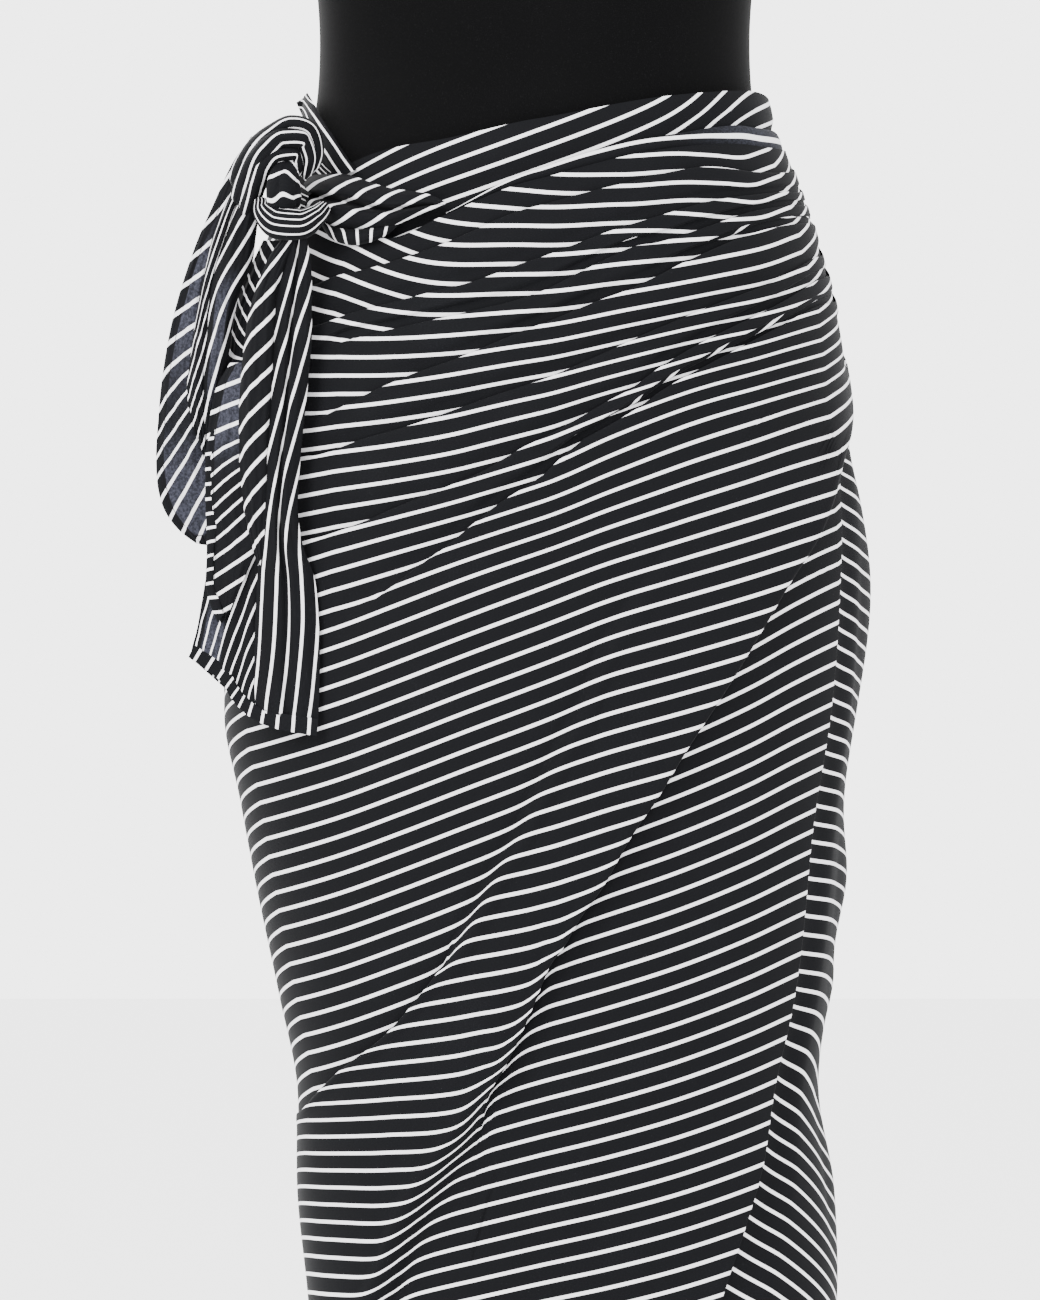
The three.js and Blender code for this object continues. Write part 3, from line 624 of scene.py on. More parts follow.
def mesh_from_grid(name, points, coords, material, closed=False, flip=False, sheer=None, seam=None):
    """A sheet or tube from rows of points in mm, with its cloth coordinates in mm.

    A closed tube has one more column of coordinates than of points.
    """
    rows, columns = points.shape[:2]
    wide = columns if closed else columns - 1
    i, j = [a.ravel() for a in np.meshgrid(np.arange(rows - 1), np.arange(wide), indexing="ij")]
    corners = [(i, j), (i + 1, j), (i + 1, j + 1), (i, j + 1)]
    if flip:
        corners.reverse()
    vertex = np.stack([a * columns + b % columns for a, b in corners], axis=1)
    coordinate = np.stack([a * (wide + 1) + b for a, b in corners], axis=1)
    mesh = bpy.data.meshes.new(name)
    mesh.from_pydata((points.reshape(-1, 3) * MM).tolist(), [], vertex.tolist())
    loop_places = points if not closed else np.concatenate([points, points[:, :1]], axis=1)
    across = np.linalg.norm(np.diff(loop_places, axis=1), axis=2).mean(axis=0)
    down = np.linalg.norm(np.diff(loop_places, axis=0), axis=2).mean(axis=1)
    u = np.concatenate([[0], np.cumsum(across)])
    w = np.concatenate([[0], np.cumsum(down)])
    size = max(u[-1], w[-1]) * 1.02
    spread = np.stack(np.meshgrid(u / size + 0.005, w / size + 0.005), axis=-1)
    for layer_name, values in (("cloth", coords * MM), ("OFBake", spread)):
        layer = mesh.uv_layers.new(name=layer_name)
        picked = values.reshape(-1, 2)[coordinate.ravel()]
        layer.data.foreach_set("uv", picked.astype(np.float32).ravel())
    # The first attribute holds painted light shining through thin cloth, and on the rolled edge the grey of
    # its wrong side; the second holds the distance from a seam
    for layer_name, values, plain in (("sheer", sheer, 0.0), ("seam", seam, NO_SEAM)):
        if values is None:
            values = np.full(points.shape[:2], plain)
        layer = mesh.attributes.new(layer_name, "FLOAT", "POINT")
        layer.data.foreach_set("value", values.astype(np.float32).ravel())
    mesh.polygons.foreach_set("use_smooth", [True] * len(mesh.polygons))
    mesh.materials.append(material)
    mesh.update()
    piece = bpy.data.objects.new(name, mesh)
    bpy.context.scene.collection.objects.link(piece)
    return piece


# ---------------------------------------------------------------- materials

class Nodes:
    """Short calls for building a material's node tree."""

    def __init__(self, name):
        self.material = bpy.data.materials.new(name)
        self.material.use_nodes = True
        self.tree = self.material.node_tree
        self.shader = self.tree.nodes["Principled BSDF"]

    def node(self, kind, **values):
        made = self.tree.nodes.new(kind)
        for key, value in values.items():
            setattr(made, key, value)
        return made

    def link(self, source, target):
        self.tree.links.new(source, target)

    def math(self, operation, a, b=0.0, c=0.0):
        made = self.node("ShaderNodeMath", operation=operation)
        for socket, value in zip(made.inputs, (a, b, c)):
            if isinstance(value, (int, float)):
                socket.default_value = value
            else:
                self.link(value, socket)
        return made.outputs[0]

    def noise(self, scale, detail=2.0, vector=None, rough=0.5):
        made = self.node("ShaderNodeTexNoise")
        made.inputs["Scale"].default_value = scale
        made.inputs["Detail"].default_value = detail
        made.inputs["Roughness"].default_value = rough
        if vector is not None:
            self.link(vector, made.inputs["Vector"])
        return made.outputs["Fac"]

    def range(self, value, low, high, to_low=0.0, to_high=1.0):
        made = self.node("ShaderNodeMapRange", interpolation_type="SMOOTHSTEP")
        self.link(value, made.inputs["Value"])
        for key, number in (("From Min", low), ("From Max", high), ("To Min", to_low), ("To Max", to_high)):
            made.inputs[key].default_value = number
        return made.outputs["Result"]

    def blend(self, factor, a, b):
        made = self.node("ShaderNodeMix", data_type="RGBA")
        self.link(factor, made.inputs["Factor"])
        for socket, value in ((made.inputs[6], a), (made.inputs[7], b)):
            if isinstance(value, tuple):
                socket.default_value = (*value, 1)
            else:
                self.link(value, socket)
        return made.outputs[2]

    def scaled(self, source, scale):
        made = self.node("ShaderNodeMapping")
        self.link(source, made.inputs["Vector"])
        made.inputs["Scale"].default_value = scale
        return made.outputs["Vector"]

    def surface(self, colour, **values):
        """Links the colour and sets other sockets of the shader, named with _ for each space."""
        self.link(colour, self.shader.inputs["Base Color"])
        for key, value in values.items():
            self.shader.inputs[key.replace("_", " ")].default_value = value

    def bump(self, height, strength, distance):
        made = self.node("ShaderNodeBump")
        made.inputs["Strength"].default_value = strength
        made.inputs["Distance"].default_value = distance
        self.link(height, made.inputs["Height"])
        self.link(made.outputs["Normal"], self.shader.inputs["Normal"])


BLACK = (0.0015, 0.0016, 0.0021)
WORN_BLACK = (0.0055, 0.0058, 0.0075)
# Painted light: a grey for light shining through the thin single layer from behind, also used as the own
# colour of the rolled edge's wrong side
BACKLIT_AND_WRONG_SIDE_BLACK = (0.026, 0.027, 0.037)
WHITE = (0.62, 0.61, 0.62)
THIN_WHITE = (0.50, 0.495, 0.51)
STITCHES_PER_METRE = 420.0


def striped_cloth(name):
    """Cotton voile: thin off-white stripes across the cloth's second coordinate, with its weave, painted
    light shining through its thin single layers, and the grey of its rolled edge's wrong side.
    """
    nodes = Nodes(name)
    on_cloth = nodes.node("ShaderNodeUVMap", uv_map="cloth").outputs["UV"]
    split = nodes.node("ShaderNodeSeparateXYZ")
    nodes.link(on_cloth, split.inputs["Vector"])
    along, across = split.outputs["X"], split.outputs["Y"]
    turns = nodes.math("DIVIDE", across, PITCH * MM)
    offset = nodes.math("ABSOLUTE", nodes.math("SUBTRACT", nodes.math("FRACT", turns), 0.5))
    half = STRIPE / PITCH / 2
    stripe = nodes.range(offset, half + 0.012, half - 0.012)
    coordinates = nodes.node("ShaderNodeTexCoord").outputs["Object"]
    slub = nodes.noise(1.0, 2.0, nodes.scaled(on_cloth, (900, 2600, 1)))
    patches = nodes.range(nodes.noise(22.0, 3.0, coordinates), 0.5, 0.75)
    speckle = nodes.range(slub, 0.42, 0.72)
    worn = nodes.math("MULTIPLY", speckle, nodes.math("MULTIPLY_ADD", patches, 0.35, 0.18))
    ground = nodes.blend(worn, BLACK, WORN_BLACK)
    # Painted light: where the cloth hangs as one thin layer, its black is lifted to a mottled grey for light
    # shining through it from behind; on the rolled edge the same grey is the wrong side's own colour
    mottle = nodes.range(nodes.noise(650.0, 3.0, coordinates, 0.7), 0.35, 0.68)
    sheer = nodes.node("ShaderNodeAttribute", attribute_name="sheer").outputs["Fac"]
    backlight_and_wrong_side_share = nodes.math("MULTIPLY", sheer, nodes.math("MULTIPLY_ADD", mottle, 0.75, 0.25))
    ground = nodes.blend(backlight_and_wrong_side_share, ground, BACKLIT_AND_WRONG_SIDE_BLACK)
    white = nodes.blend(nodes.range(slub, 0.3, 0.75), THIN_WHITE, WHITE)
    colour = nodes.blend(stripe, ground, white)
    seam = nodes.node("ShaderNodeAttribute", attribute_name="seam").outputs["Fac"]
    from_stitch = nodes.math("ABSOLUTE", nodes.math("SUBTRACT", seam, HEM - 0.4))
    stitches = nodes.math("MULTIPLY", nodes.math("ADD", along, across), STITCHES_PER_METRE)
    stitches = nodes.range(nodes.math("FRACT", stitches), 0.1, 0.3)
    thread = nodes.math("MULTIPLY", nodes.range(from_stitch, 0.55, 0.25), stitches)
    colour = nodes.blend(nodes.math("MULTIPLY", thread, 0.8), colour, BLACK)
    nodes.surface(colour, Roughness=0.82, Specular_IOR_Level=0.06, Sheen_Weight=0.012, Sheen_Roughness=0.4)
    nodes.bump(slub, 0.25, 0.0002)
    return nodes.material


def black_jersey():
    nodes = Nodes("form_jersey")
    coordinates = nodes.node("ShaderNodeTexCoord").outputs["Object"]
    fuzz = nodes.noise(1400.0, 2.0, coordinates)
    broad = nodes.noise(9.0, 2.0, coordinates)
    shade = nodes.blend(nodes.range(broad, 0.3, 0.7), (0.0004, 0.0004, 0.0005), (0.0007, 0.0007, 0.0008))
    colour = nodes.blend(nodes.range(fuzz, 0.55, 0.85), shade, (0.003, 0.003, 0.0032))
    nodes.surface(colour, Roughness=0.9, Specular_IOR_Level=0.05, Sheen_Weight=0.02, Sheen_Roughness=0.35)
    nodes.bump(fuzz, 0.3, 0.0003)
    return nodes.material


def satin_metal():
    nodes = Nodes("stand_metal")
    coordinates = nodes.node("ShaderNodeTexCoord").outputs["Object"]
    brushed = nodes.noise(3.0, 3.0, nodes.scaled(coordinates, (40, 40, 900)))
    colour = nodes.blend(nodes.range(brushed, 0.3, 0.7), (0.50, 0.50, 0.51), (0.62, 0.62, 0.63))
    nodes.surface(colour, Metallic=1.0, Roughness=0.35)
    nodes.bump(brushed, 0.1, 0.0001)
    return nodes.material


cloth = striped_cloth("striped_voile")


# ---------------------------------------------------------------- camera and light

def camera():
    scene = bpy.context.scene
    middle_x = (PHOTO_WIDE / 2 - AXIS_PIXEL) * MM_PER_PIXEL * MM
    middle_z = (TOP_HEIGHT - PHOTO_HIGH / 2 * MM_PER_PIXEL) * MM
    data = bpy.data.cameras.new("camera")
    data.sensor_fit = "VERTICAL"
    data.sensor_height = 24.0
    seen = PHOTO_HIGH * MM_PER_PIXEL * MM
    front = 0.10  # the pixel scale holds at the skirt's front
    data.lens = data.sensor_height * (CAMERA_DISTANCE - front) / seen
    data.clip_end = 60
    made = bpy.data.objects.new("camera", data)
    made.location = (middle_x, -CAMERA_DISTANCE, middle_z)
    made.rotation_euler = (math.radians(90), 0, 0)
    scene.collection.objects.link(made)
    scene.camera = made


def lamp(name, place, aim, size, watts):
    data = bpy.data.lights.new(name, "AREA")
    data.shape = "RECTANGLE"
    data.size, data.size_y = size
    data.energy = watts
    made = bpy.data.objects.new(name, data)
    made.location = place
    made.rotation_euler = (Vector(aim) - Vector(place)).to_track_quat("-Z", "Y").to_euler()
    bpy.context.scene.collection.objects.link(made)


def studio():
    mesh = bpy.data.meshes.new("floor")
    half = 14.0
    corners = [(-half, -half, 0), (half, -half, 0), (half, half, 0), (-half, half, 0)]
    mesh.from_pydata(corners, [], [(0, 1, 2, 3)])
    floor = bpy.data.objects.new("floor", mesh)
    bpy.context.scene.collection.objects.link(floor)
    plain = Nodes("pale_floor")
    plain.shader.inputs["Base Color"].default_value = (0.86, 0.86, 0.86, 1)
    plain.shader.inputs["Roughness"].default_value = 0.9
    mesh.materials.append(plain.material)
    world = bpy.data.worlds.new("studio")
    world.use_nodes = True
    background = world.node_tree.nodes["Background"]
    background.inputs["Color"].default_value = (1.0, 1.0, 1.0, 1)
    background.inputs["Strength"].default_value = 4.2
    bpy.context.scene.world = world
    lamp("key", (-2.4, -3.0, 3.0), (0, 0, 0.85), (1.8, 1.8), 330)
    lamp("fill", (2.8, -2.6, 1.6), (0, 0, 0.8), (2.0, 2.0), 60)
    lamp("rim", (-1.8, 2.4, 2.4), (0, 0, 0.9), (1.2, 1.8), 90)


camera()
studio()


# ---------------------------------------------------------------- pieces and sheets

def place(piece, nodes, slot):
    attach(piece, "root")
    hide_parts(*nodes)
    return piece


sheets = {}
SMALLEST_SHARE = 0.31  # of its width times its length, that a sheet's area may be


def cloth_piece(name, points, coords, nodes, held, rests_on, hem_of=None, layers=1, **options):
    """A piece of striped cloth, noted as a sheet or as the hem of one. A closed lobe has two layers.
    """
    shown = points[:, :-1] if options.get("closed") else points
    piece = place(mesh_from_grid(name, shown, coords, cloth, **options), nodes, "cloth")
    if hem_of:
        sheets[hem_of]["hems"].append(piece)
    else:
        sheets[name] = dict(piece=piece, points=points, held=held, rests_on=rests_on, hems=[], layers=layers)


def declare_sheets():
    """Each sheet's flat size is how wide its rows and how long its columns run, on average."""
    for sheet in sheets.values():
        right, down = np.diff(sheet["points"], axis=1), np.diff(sheet["points"], axis=0)
        width = np.linalg.norm(right, axis=2).sum(axis=1).mean() * MM / sheet["layers"]
        length = np.linalg.norm(down, axis=2).sum(axis=0).mean() * MM
        area = np.linalg.norm(np.cross(right[:-1], down[:, :-1]), axis=2).sum() * MM * MM / sheet["layers"]
        area = min(max(area, SMALLEST_SHARE * width * length), width * length)


def smooth_rows(table, count):
    """The table's columns at so many rows, smooth between its own rows."""
    at = np.linspace(0, len(table) - 1, count)
    return [Curve([(i, row[k]) for i, row in enumerate(table)])(at) for k in range(len(table[0]))]


# ---------------------------------------------------------------- outer layer

outer_points, outer_coords = build_outer()
cloth_piece("outer_front", outer_points, outer_coords, ["wrap_front"], "draped", ["form_torso"])


# ---------------------------------------------------------------- hems

# Distance from the edge and depth, across the turned-in hem
HEM_PROFILE = [(0, 0.0), (-0.35, -0.15), (-0.5, -0.5), (-0.3, -0.85), (0.4, -1.0), (2.5, -1.1),
               (HEM - 0.4, -1.1), (HEM, -1.0)]


def hem(name, node, sheet, points, coords, flip=False):
    """The turned-in hem along the last row of a sheet: rows across it, from its fold."""
    edge, inner = points[-1], points[-3]
    along = np.gradient(edge, axis=0)
    along /= np.linalg.norm(along, axis=1, keepdims=True)
    across = inner - edge
    across -= along * (across * along).sum(axis=1, keepdims=True)
    across /= np.linalg.norm(across, axis=1, keepdims=True)
    out = np.cross(along, across)
    to_axis = edge * np.array([1, 1, 0]) * -1
    out *= np.sign(-(out * to_axis).sum(axis=1, keepdims=True))
    slope = (coords[-3] - coords[-1]) / np.linalg.norm(inner - edge, axis=1, keepdims=True)
    hem_points = np.array([edge + across * a + out * d for a, d in HEM_PROFILE])
    hem_coords = np.array([coords[-1] + slope * abs(a) for a, d in HEM_PROFILE])
    piece = place(mesh_from_grid(name, hem_points, hem_coords, cloth, flip=flip), [node], "hem")
    sheets[sheet]["hems"].append(piece)


FREE_EDGE_TOP = 880
free = slice(int(np.argmax(outer_points[:, -1, 2] < FREE_EDGE_TOP)), None)
hem("free_edge_hem", "hem_free_edge", "outer_front", outer_points[free].swapaxes(0, 1),
    outer_coords[free].swapaxes(0, 1), flip=True)
hem("front_bottom_hem", "hem_bottom_front", "outer_front", outer_points, outer_coords)


# ---------------------------------------------------------------- under layer

UNDER_ZERO = 182  # place round the body where both fields of the under layer's stripes meet
under_high = slope_run([(-100, 20), (0, 21), (100, 20), (150, 8), (175, -19), (215, -20), (250, -12),
                        (300, -12), (380, -8), (480, 0), (560, 4), (650, 6), (700, 8), (1000, 8)])
under_mid = slope_run([(-100, 15), (0, 15), (100, 2), (160, -6), (215, -6), (245, -16), (300, -28),
                       (350, -24), (400, -12), (480, 0), (560, 4), (650, 6), (700, 8), (1000, 8)])
under_low = slope_run([(-100, 10), (0, 5), (60, -10), (100, -24), (200, -30), (300, -15), (400, -5), (500, 0),
                       (650, 6), (760, 8), (1000, 8)])
band_rise = slope_run([(-420, 20), (-110, 20), (-50, 16), (0, 16), (60, 17), (90, 19), (115, 24), (140, 28),
                       (170, 22), (200, 10), (260, 5), (300, 0), (1000, 0)])
side_turn = float(np.interp(UNDER_ZERO, ARC.value, ARC.at))


def under_v(turn, z):
    high = 0.95 * (z - under_high(turn) + under_high(side_turn))
    mid = 0.95 * (z - under_mid(turn) + under_mid(side_turn))
    low = 0.82 * (z - 500 - under_low(turn) + under_low(side_turn)) + 0.95 * 500
    top = 0.93 * (z - band_rise(turn)) + 4
    v = mix(low, mid, ramp(z, 470, 580))
    v = mix(v, high, ramp(z, 620, 790))
    v = mix(v, top, ramp(z - outer_top(turn), -40, -8) * (1 - ramp(turn, 90, 130)))
    along_hem = HEM_V + z - hem_under(turn)
    return mix(along_hem, v, ramp(z, 140, 420))


UNDER_HEIGHTS = 170
UNDER_COLUMNS = 420


def build_under():
    rows = Rows()
    for share in np.linspace(0, 1, UNDER_HEIGHTS):
        def z(turn, share=share):
            return mix(under_top(turn), hem_under(turn), share)

        def out(turn, z=z):
            return under_depth(turn, z(turn)) + hollow(turn, z(turn))

        rows.add(z, out, lambda turn, z=z: under_v(turn, z(turn)))
    return rows.grid(UNDER_TURNS[0], lambda z: level(z, UNDER_TURNS[1]), UNDER_COLUMNS)


under_points, under_coords = build_under()
cloth_piece("under_layer", under_points, under_coords, ["under_front", "wrap_side", "wrap_back"], "draped",
            ["form_torso"])
hem("back_bottom_hem", "hem_bottom_back", "under_layer", under_points, under_coords)


# ---------------------------------------------------------------- rolled top edge and corner band

ROLL_COLUMNS = 200
# Height as a share of the edge's full height, and place out from the outer surface, from its top down
ROLL_PROFILE = [(1, -3.9), (0.97, -3.3), (0.88, -2.5), (0.7, -2.0), (0.5, -1.9), (0.3, -2.0), (0.1, -2.4),
                (-0.1, -2.9), (-0.35, -3.2)]


def roll_height(turn):
    return 7 * ramp(turn, -24, 10) + 4 * ramp(turn, 28, 60) + 0.5


def build_rolled_edge():
    """The outer layer's rolled top edge, with one stripe along its middle."""
    rows = Rows()
    for share, out in ROLL_PROFILE:
        def stripe(turn, share=share):
            return level(turn, (1 - share) * 7.5 - 1.2 - 3 * ramp(turn, 20, 50) + PITCH / 2)

        rows.add(lambda turn, share=share: outer_top(turn) + share * roll_height(turn),
                 lambda turn, out=out: level(turn, out), stripe)
    return rows.grid(ROLL_TURN, lambda z: level(z, SIDE_TURN), ROLL_COLUMNS)


points, coords = build_rolled_edge()
wrong_side = np.broadcast_to(ramp(np.arange(ROLL_COLUMNS), 75, 130) * 0.6, points.shape[:2])
cloth_piece("rolled_top_edge", points, coords, ["rolled_edge"], "folded", ["wrap_front"], sheer=wrong_side)

# Turn, lower and upper edge of the gathered corner round the back of the waist
BAND = [(106, 962, 1050), (125, 990, 1058), (150, 1014, 1066), (180, 1030, 1071), (215, 1037, 1072),
        (245, 1037, 1071), (262, 1030, 1069), (280, 1014, 1066), (288, 1010, 1056), (300, 1004, 1040),
        (310, 1000, 1030)]
band_low = Curve([(row[0], row[1]) for row in BAND])
band_high = Curve([(row[0], row[2]) for row in BAND])
BAND_FOLDS = 5
BAND_STRIPES = 12.5
BAND_ROWS = 61
BAND_TIGHT = -4.6  # where its upper edge lies, behind the knot's side


def build_band():
    rows = Rows()
    for share in np.linspace(1, 0, BAND_ROWS):
        ridge = 2.6 * math.sin(math.pi * (share * BAND_FOLDS % 1)) ** 0.6
        stripes = PITCH * (BAND_STRIPES * share - 2 * (1 - share) * ramp(share, 0, 1))

        def z(turn, share=share):
            return mix(band_low(turn), band_high(turn), share)

        def out(turn, ridge=ridge, share=share):
            lying = OUTER_OUT + 3.5 * ramp(turn, 190, 240) + 5 * ramp(turn, 255, 292)
            tighter = ramp(share, 0.45, 0.9) * ramp(turn, 215, 262)
            return mix(lying, BAND_TIGHT, tighter) + ridge * (1 - 0.5 * share)

        rows.add(z, out, lambda turn, stripes=stripes: level(turn, stripes))
    return rows.grid(SIDE_TURN + 0.2, lambda z: level(z, BAND_TURN), 220)


points, coords = build_band()
cloth_piece("gathered_corner_band", points, coords, ["corner_band"], "gathered", ["form_torso"])


# ---------------------------------------------------------------- knot and hanging ends
# Tables here give pixels of the photograph, and mm towards the camera.

def seen_at(px, py, depth):
    px, py, depth = np.broadcast_arrays(px, py, depth)
    return np.stack([(px - AXIS_PIXEL) * MM_PER_PIXEL, -depth, TOP_HEIGHT - py * MM_PER_PIXEL], axis=-1)


def skirt_depth(px, py):
    """How far towards the camera the skirt's surface is behind a pixel."""
    x = (px - AXIS_PIXEL) * MM_PER_PIXEL
    z = TOP_HEIGHT - py * MM_PER_PIXEL
    return -skirt_point(turn_at(x, z), z, 0.0)[..., 1]


def running(values, axis):
    """Running sum along an axis, from zero."""
    zero = np.zeros_like(np.take(values, [0], axis=axis))
    return np.concatenate([zero, np.cumsum(values, axis=axis)], axis=axis)


PANEL_COLUMNS = 10  # numbers in a panel's row, before its share of painted light shining through the thin cloth


def panel(name, node, rows, ridges=1, hems=(), count=110, columns=56, on_skirt=False, backlit_band=(0, 1),
          start=0.0, crinkle=0.5, hem_of=None):
    """A stretch of hanging cloth between two edges.

    Each row gives the first edge's pixel, the second edge's pixel, their depths, how far the middle
    bulges, the stripes' slope in degrees at each edge, their spacing in pixels, and, if at all, how much
    painted light shining through the thin single layer from behind it has. ridges is how many soft folds
    run down it, hems names the edges that have one, the band argument is the part of its width that can
    have this painted light, start shifts its stripes, and hem_of names the sheet that it hems.
    """
    rows = [row if len(row) > PANEL_COLUMNS else (*row, 0) for row in rows]
    x1, y1, x2, y2, d1, d2, bulge, a1, a2, gap, sheer = [c[:, None] for c in smooth_rows(rows, count)]
    share = np.linspace(0, 1, columns)[None, :]
    px, py = mix(x1, x2, share), mix(y1, y2, share)
    rounded_over = 1 - np.abs(2 * share - 1) ** 3.0
    valleys = 0 * share
    for k in range(1, ridges):
        valleys = valleys + np.exp(-(((share - k / ridges) / 0.07) ** 2))
    down = np.linspace(0, 1, count)[:, None]
    phase = sum(map(ord, name))
    small = np.sin(9 * down + 5 * share + phase) * np.sin(17 * share + 4 * down + 2 * phase)
    fine = np.sin(23 * down - 8 * share + 3 * phase) * np.sin(29 * share + 7 * down + phase)
    depth = mix(d1, d2, share) + bulge * rounded_over * (1 - 0.75 * valleys) + crinkle * (small + 0.5 * fine)
    if on_skirt:
        depth = depth + skirt_depth(px, py)
    points = seen_at(px, py, depth)
    flat_step = np.hypot(np.diff(px, axis=1), np.diff(py, axis=1)) + 1e-6
    real_step = np.linalg.norm(np.diff(points, axis=1), axis=2) / MM_PER_PIXEL
    longer = np.minimum(real_step / flat_step, 2.6)
    angle = np.radians(mix(a1, a2, share))
    half = (angle[:, 1:] + angle[:, :-1]) / 2
    across = (np.diff(px, axis=1) * np.sin(half) + np.diff(py, axis=1) * np.cos(half)) * longer / gap
    across = running(across, 1)
    middle = columns // 2
    across = across - across[:, middle:middle + 1]
    turned = (angle[1:, middle] + angle[:-1, middle]) / 2
    step = (np.diff(px[:, middle]) * np.sin(turned) + np.diff(py[:, middle]) * np.cos(turned)) / gap[1:, 0]
    number = running(step, 0)[:, None] + across + start
    along = px * np.cos(angle) * MM_PER_PIXEL - py * np.sin(angle) * MM_PER_PIXEL
    coords = np.stack([along, number * PITCH], axis=-1)
    seam = np.full(px.shape, NO_SEAM)
    width = running(real_step * MM_PER_PIXEL, 1)
    length = running(np.linalg.norm(np.diff(points, axis=0), axis=2), 0)
    if "first" in hems:
        seam = np.minimum(seam, width)
    if "second" in hems:
        seam = np.minimum(seam, width[:, -1:] - width)
    if "end" in hems:
        seam = np.minimum(seam, length[-1:] - length)
    # Painted light: the share of grey for light shining through the single thin layer, kept off the doubled
    # hems
    low, high = backlit_band
    backlit_share = sheer * ramp(share, low, low + 0.04) * (1 - ramp(share, high - 0.04, high)) * (seam > HEM)
    held, holder = ("gathered", "form_torso") if on_skirt else ("hung", "knot")
    cloth_piece(name, points, coords, [node], held, [holder], hem_of=hem_of, sheer=backlit_share, seam=seam)


def lobe(name, rows, stripes, around=64, along=110, grooves=3, groove=0.10, twist=0.0, rings=False,
         gap=12.0, warp=0.0, first=0.3):
    """A lobe of bunched cloth along a run of pixels, with each place's depth, half width in pixels
    and half thickness in mm. Its stripes run along it, so many round it, or lie across it as rings."""
    px, py, depth, wide, thick = smooth_rows(rows, along)
    centre = seen_at(px, py, depth)
    tangent = np.gradient(centre, axis=0)
    tangent /= np.linalg.norm(tangent, axis=1, keepdims=True)
    side = np.cross(tangent, np.array([0.0, -1.0, 0.0]))
    side /= np.linalg.norm(side, axis=1, keepdims=True)
    front = np.cross(side, tangent)
    angle = np.linspace(0, 2 * np.pi, around + 1)
    t = np.linspace(0, 1, along)
    valley = np.abs(np.sin(grooves * (angle[None, :] - first) / 2 + 1.5 * t[:, None])) ** 0.45
    reach = 1 - groove * (1 - valley)
    ends = np.minimum(1, np.sqrt(np.minimum(t, 1 - t) / 0.06 + 0.02))[:, None]
    reach = reach * ends
    points = centre[:, None, :] + (
        side[:, None, :] * (np.cos(angle)[None, :] * (wide * MM_PER_PIXEL)[:, None] * reach)[..., None]
        + front[:, None, :] * (np.sin(angle)[None, :] * thick[:, None] * reach)[..., None])
    length = running(np.linalg.norm(np.diff(centre, axis=0), axis=1), 0)
    turn = angle[None, :] / (2 * np.pi)
    if rings:
        uneven = warp * np.sin(angle) + 0.09 * np.sin(5 * angle)
        number = length[:, None] / (gap * MM_PER_PIXEL) + uneven[None, :]
    else:
        number = stripes * turn + warp * np.sin(angle + 0.6)[None, :] + twist * t[:, None]
    coords = np.stack([length[:, None] + 0 * turn, number * PITCH + 0 * length[:, None]], axis=-1)
    cloth_piece(name, points, coords, ["knot"], "gathered", ["form_torso"], layers=2, closed=True)


lobe("knot_cap_outer", [
    (310, 172, 86, 6, 6), (316, 152, 90, 8, 8), (309, 130, 94, 10, 10), (291, 124, 96, 10, 11),
    (273, 133, 94, 11, 11), (257, 146, 88, 12, 10), (244, 164, 80, 12, 9), (234, 186, 71, 9, 7)],
    stripes=6, grooves=2, groove=0.12, twist=-1.1, first=0.9)
lobe("knot_cap_middle", [
    (304, 178, 88, 6, 7), (308, 158, 93, 9, 9), (299, 139, 98, 11, 11), (284, 138, 100, 11, 12),
    (269, 147, 98, 12, 12), (256, 161, 92, 12, 10), (246, 180, 84, 12, 9), (236, 204, 74, 10, 7)],
    stripes=6, grooves=3, groove=0.14, twist=-1.3, first=0.2)
lobe("knot_cap_inner", [
    (290, 180, 88, 5, 6), (297, 165, 92, 8, 8), (290, 152, 97, 10, 10), (277, 153, 98, 11, 10),
    (265, 163, 95, 11, 10), (257, 178, 90, 11, 9), (250, 196, 83, 10, 8), (242, 216, 76, 8, 6)],
    stripes=6, grooves=2, groove=0.16, twist=-1.0, first=1.6)
lobe("knot_cross", [
    (291, 158, 90, 9, 7), (285, 173, 97, 15, 10), (283, 190, 101, 18, 11), (285, 204, 99, 17, 9),
    (290, 214, 94, 12, 7)],
    stripes=0, rings=True, gap=14, grooves=5, groove=0.18, warp=0.4)
lobe("knot_wrap", [
    (259, 199, 86, 7, 6), (265, 214, 93, 12, 10), (280, 223, 99, 18, 12), (299, 224, 101, 17, 12),
    (315, 216, 99, 12, 9), (326, 205, 94, 7, 6)],
    stripes=11, grooves=4, groove=0.14, warp=-1.3, twist=0.5)

# Where the band from the back slopes down into the knot
panel("band_end", "corner_band", [
    (292, 92, 304, 84, -1, -3, 1, -46, -46, 12), (298, 106, 312, 98, 1, -2, 1.5, -52, -52, 12),
    (303, 121, 319, 112, 2, -2, 2, -57, -57, 12), (309, 136, 328, 126, 3, -2, 2, -58, -58, 12),
    (317, 151, 338, 142, 4, -2, 2, -58, -58, 12), (326, 164, 348, 157, 4, -2, 2, -56, -56, 12),
    (334, 176, 356, 168, 2, -3, 1, -54, -54, 12)],
    on_skirt=True, count=60, columns=30, crinkle=0.2, start=0.33)

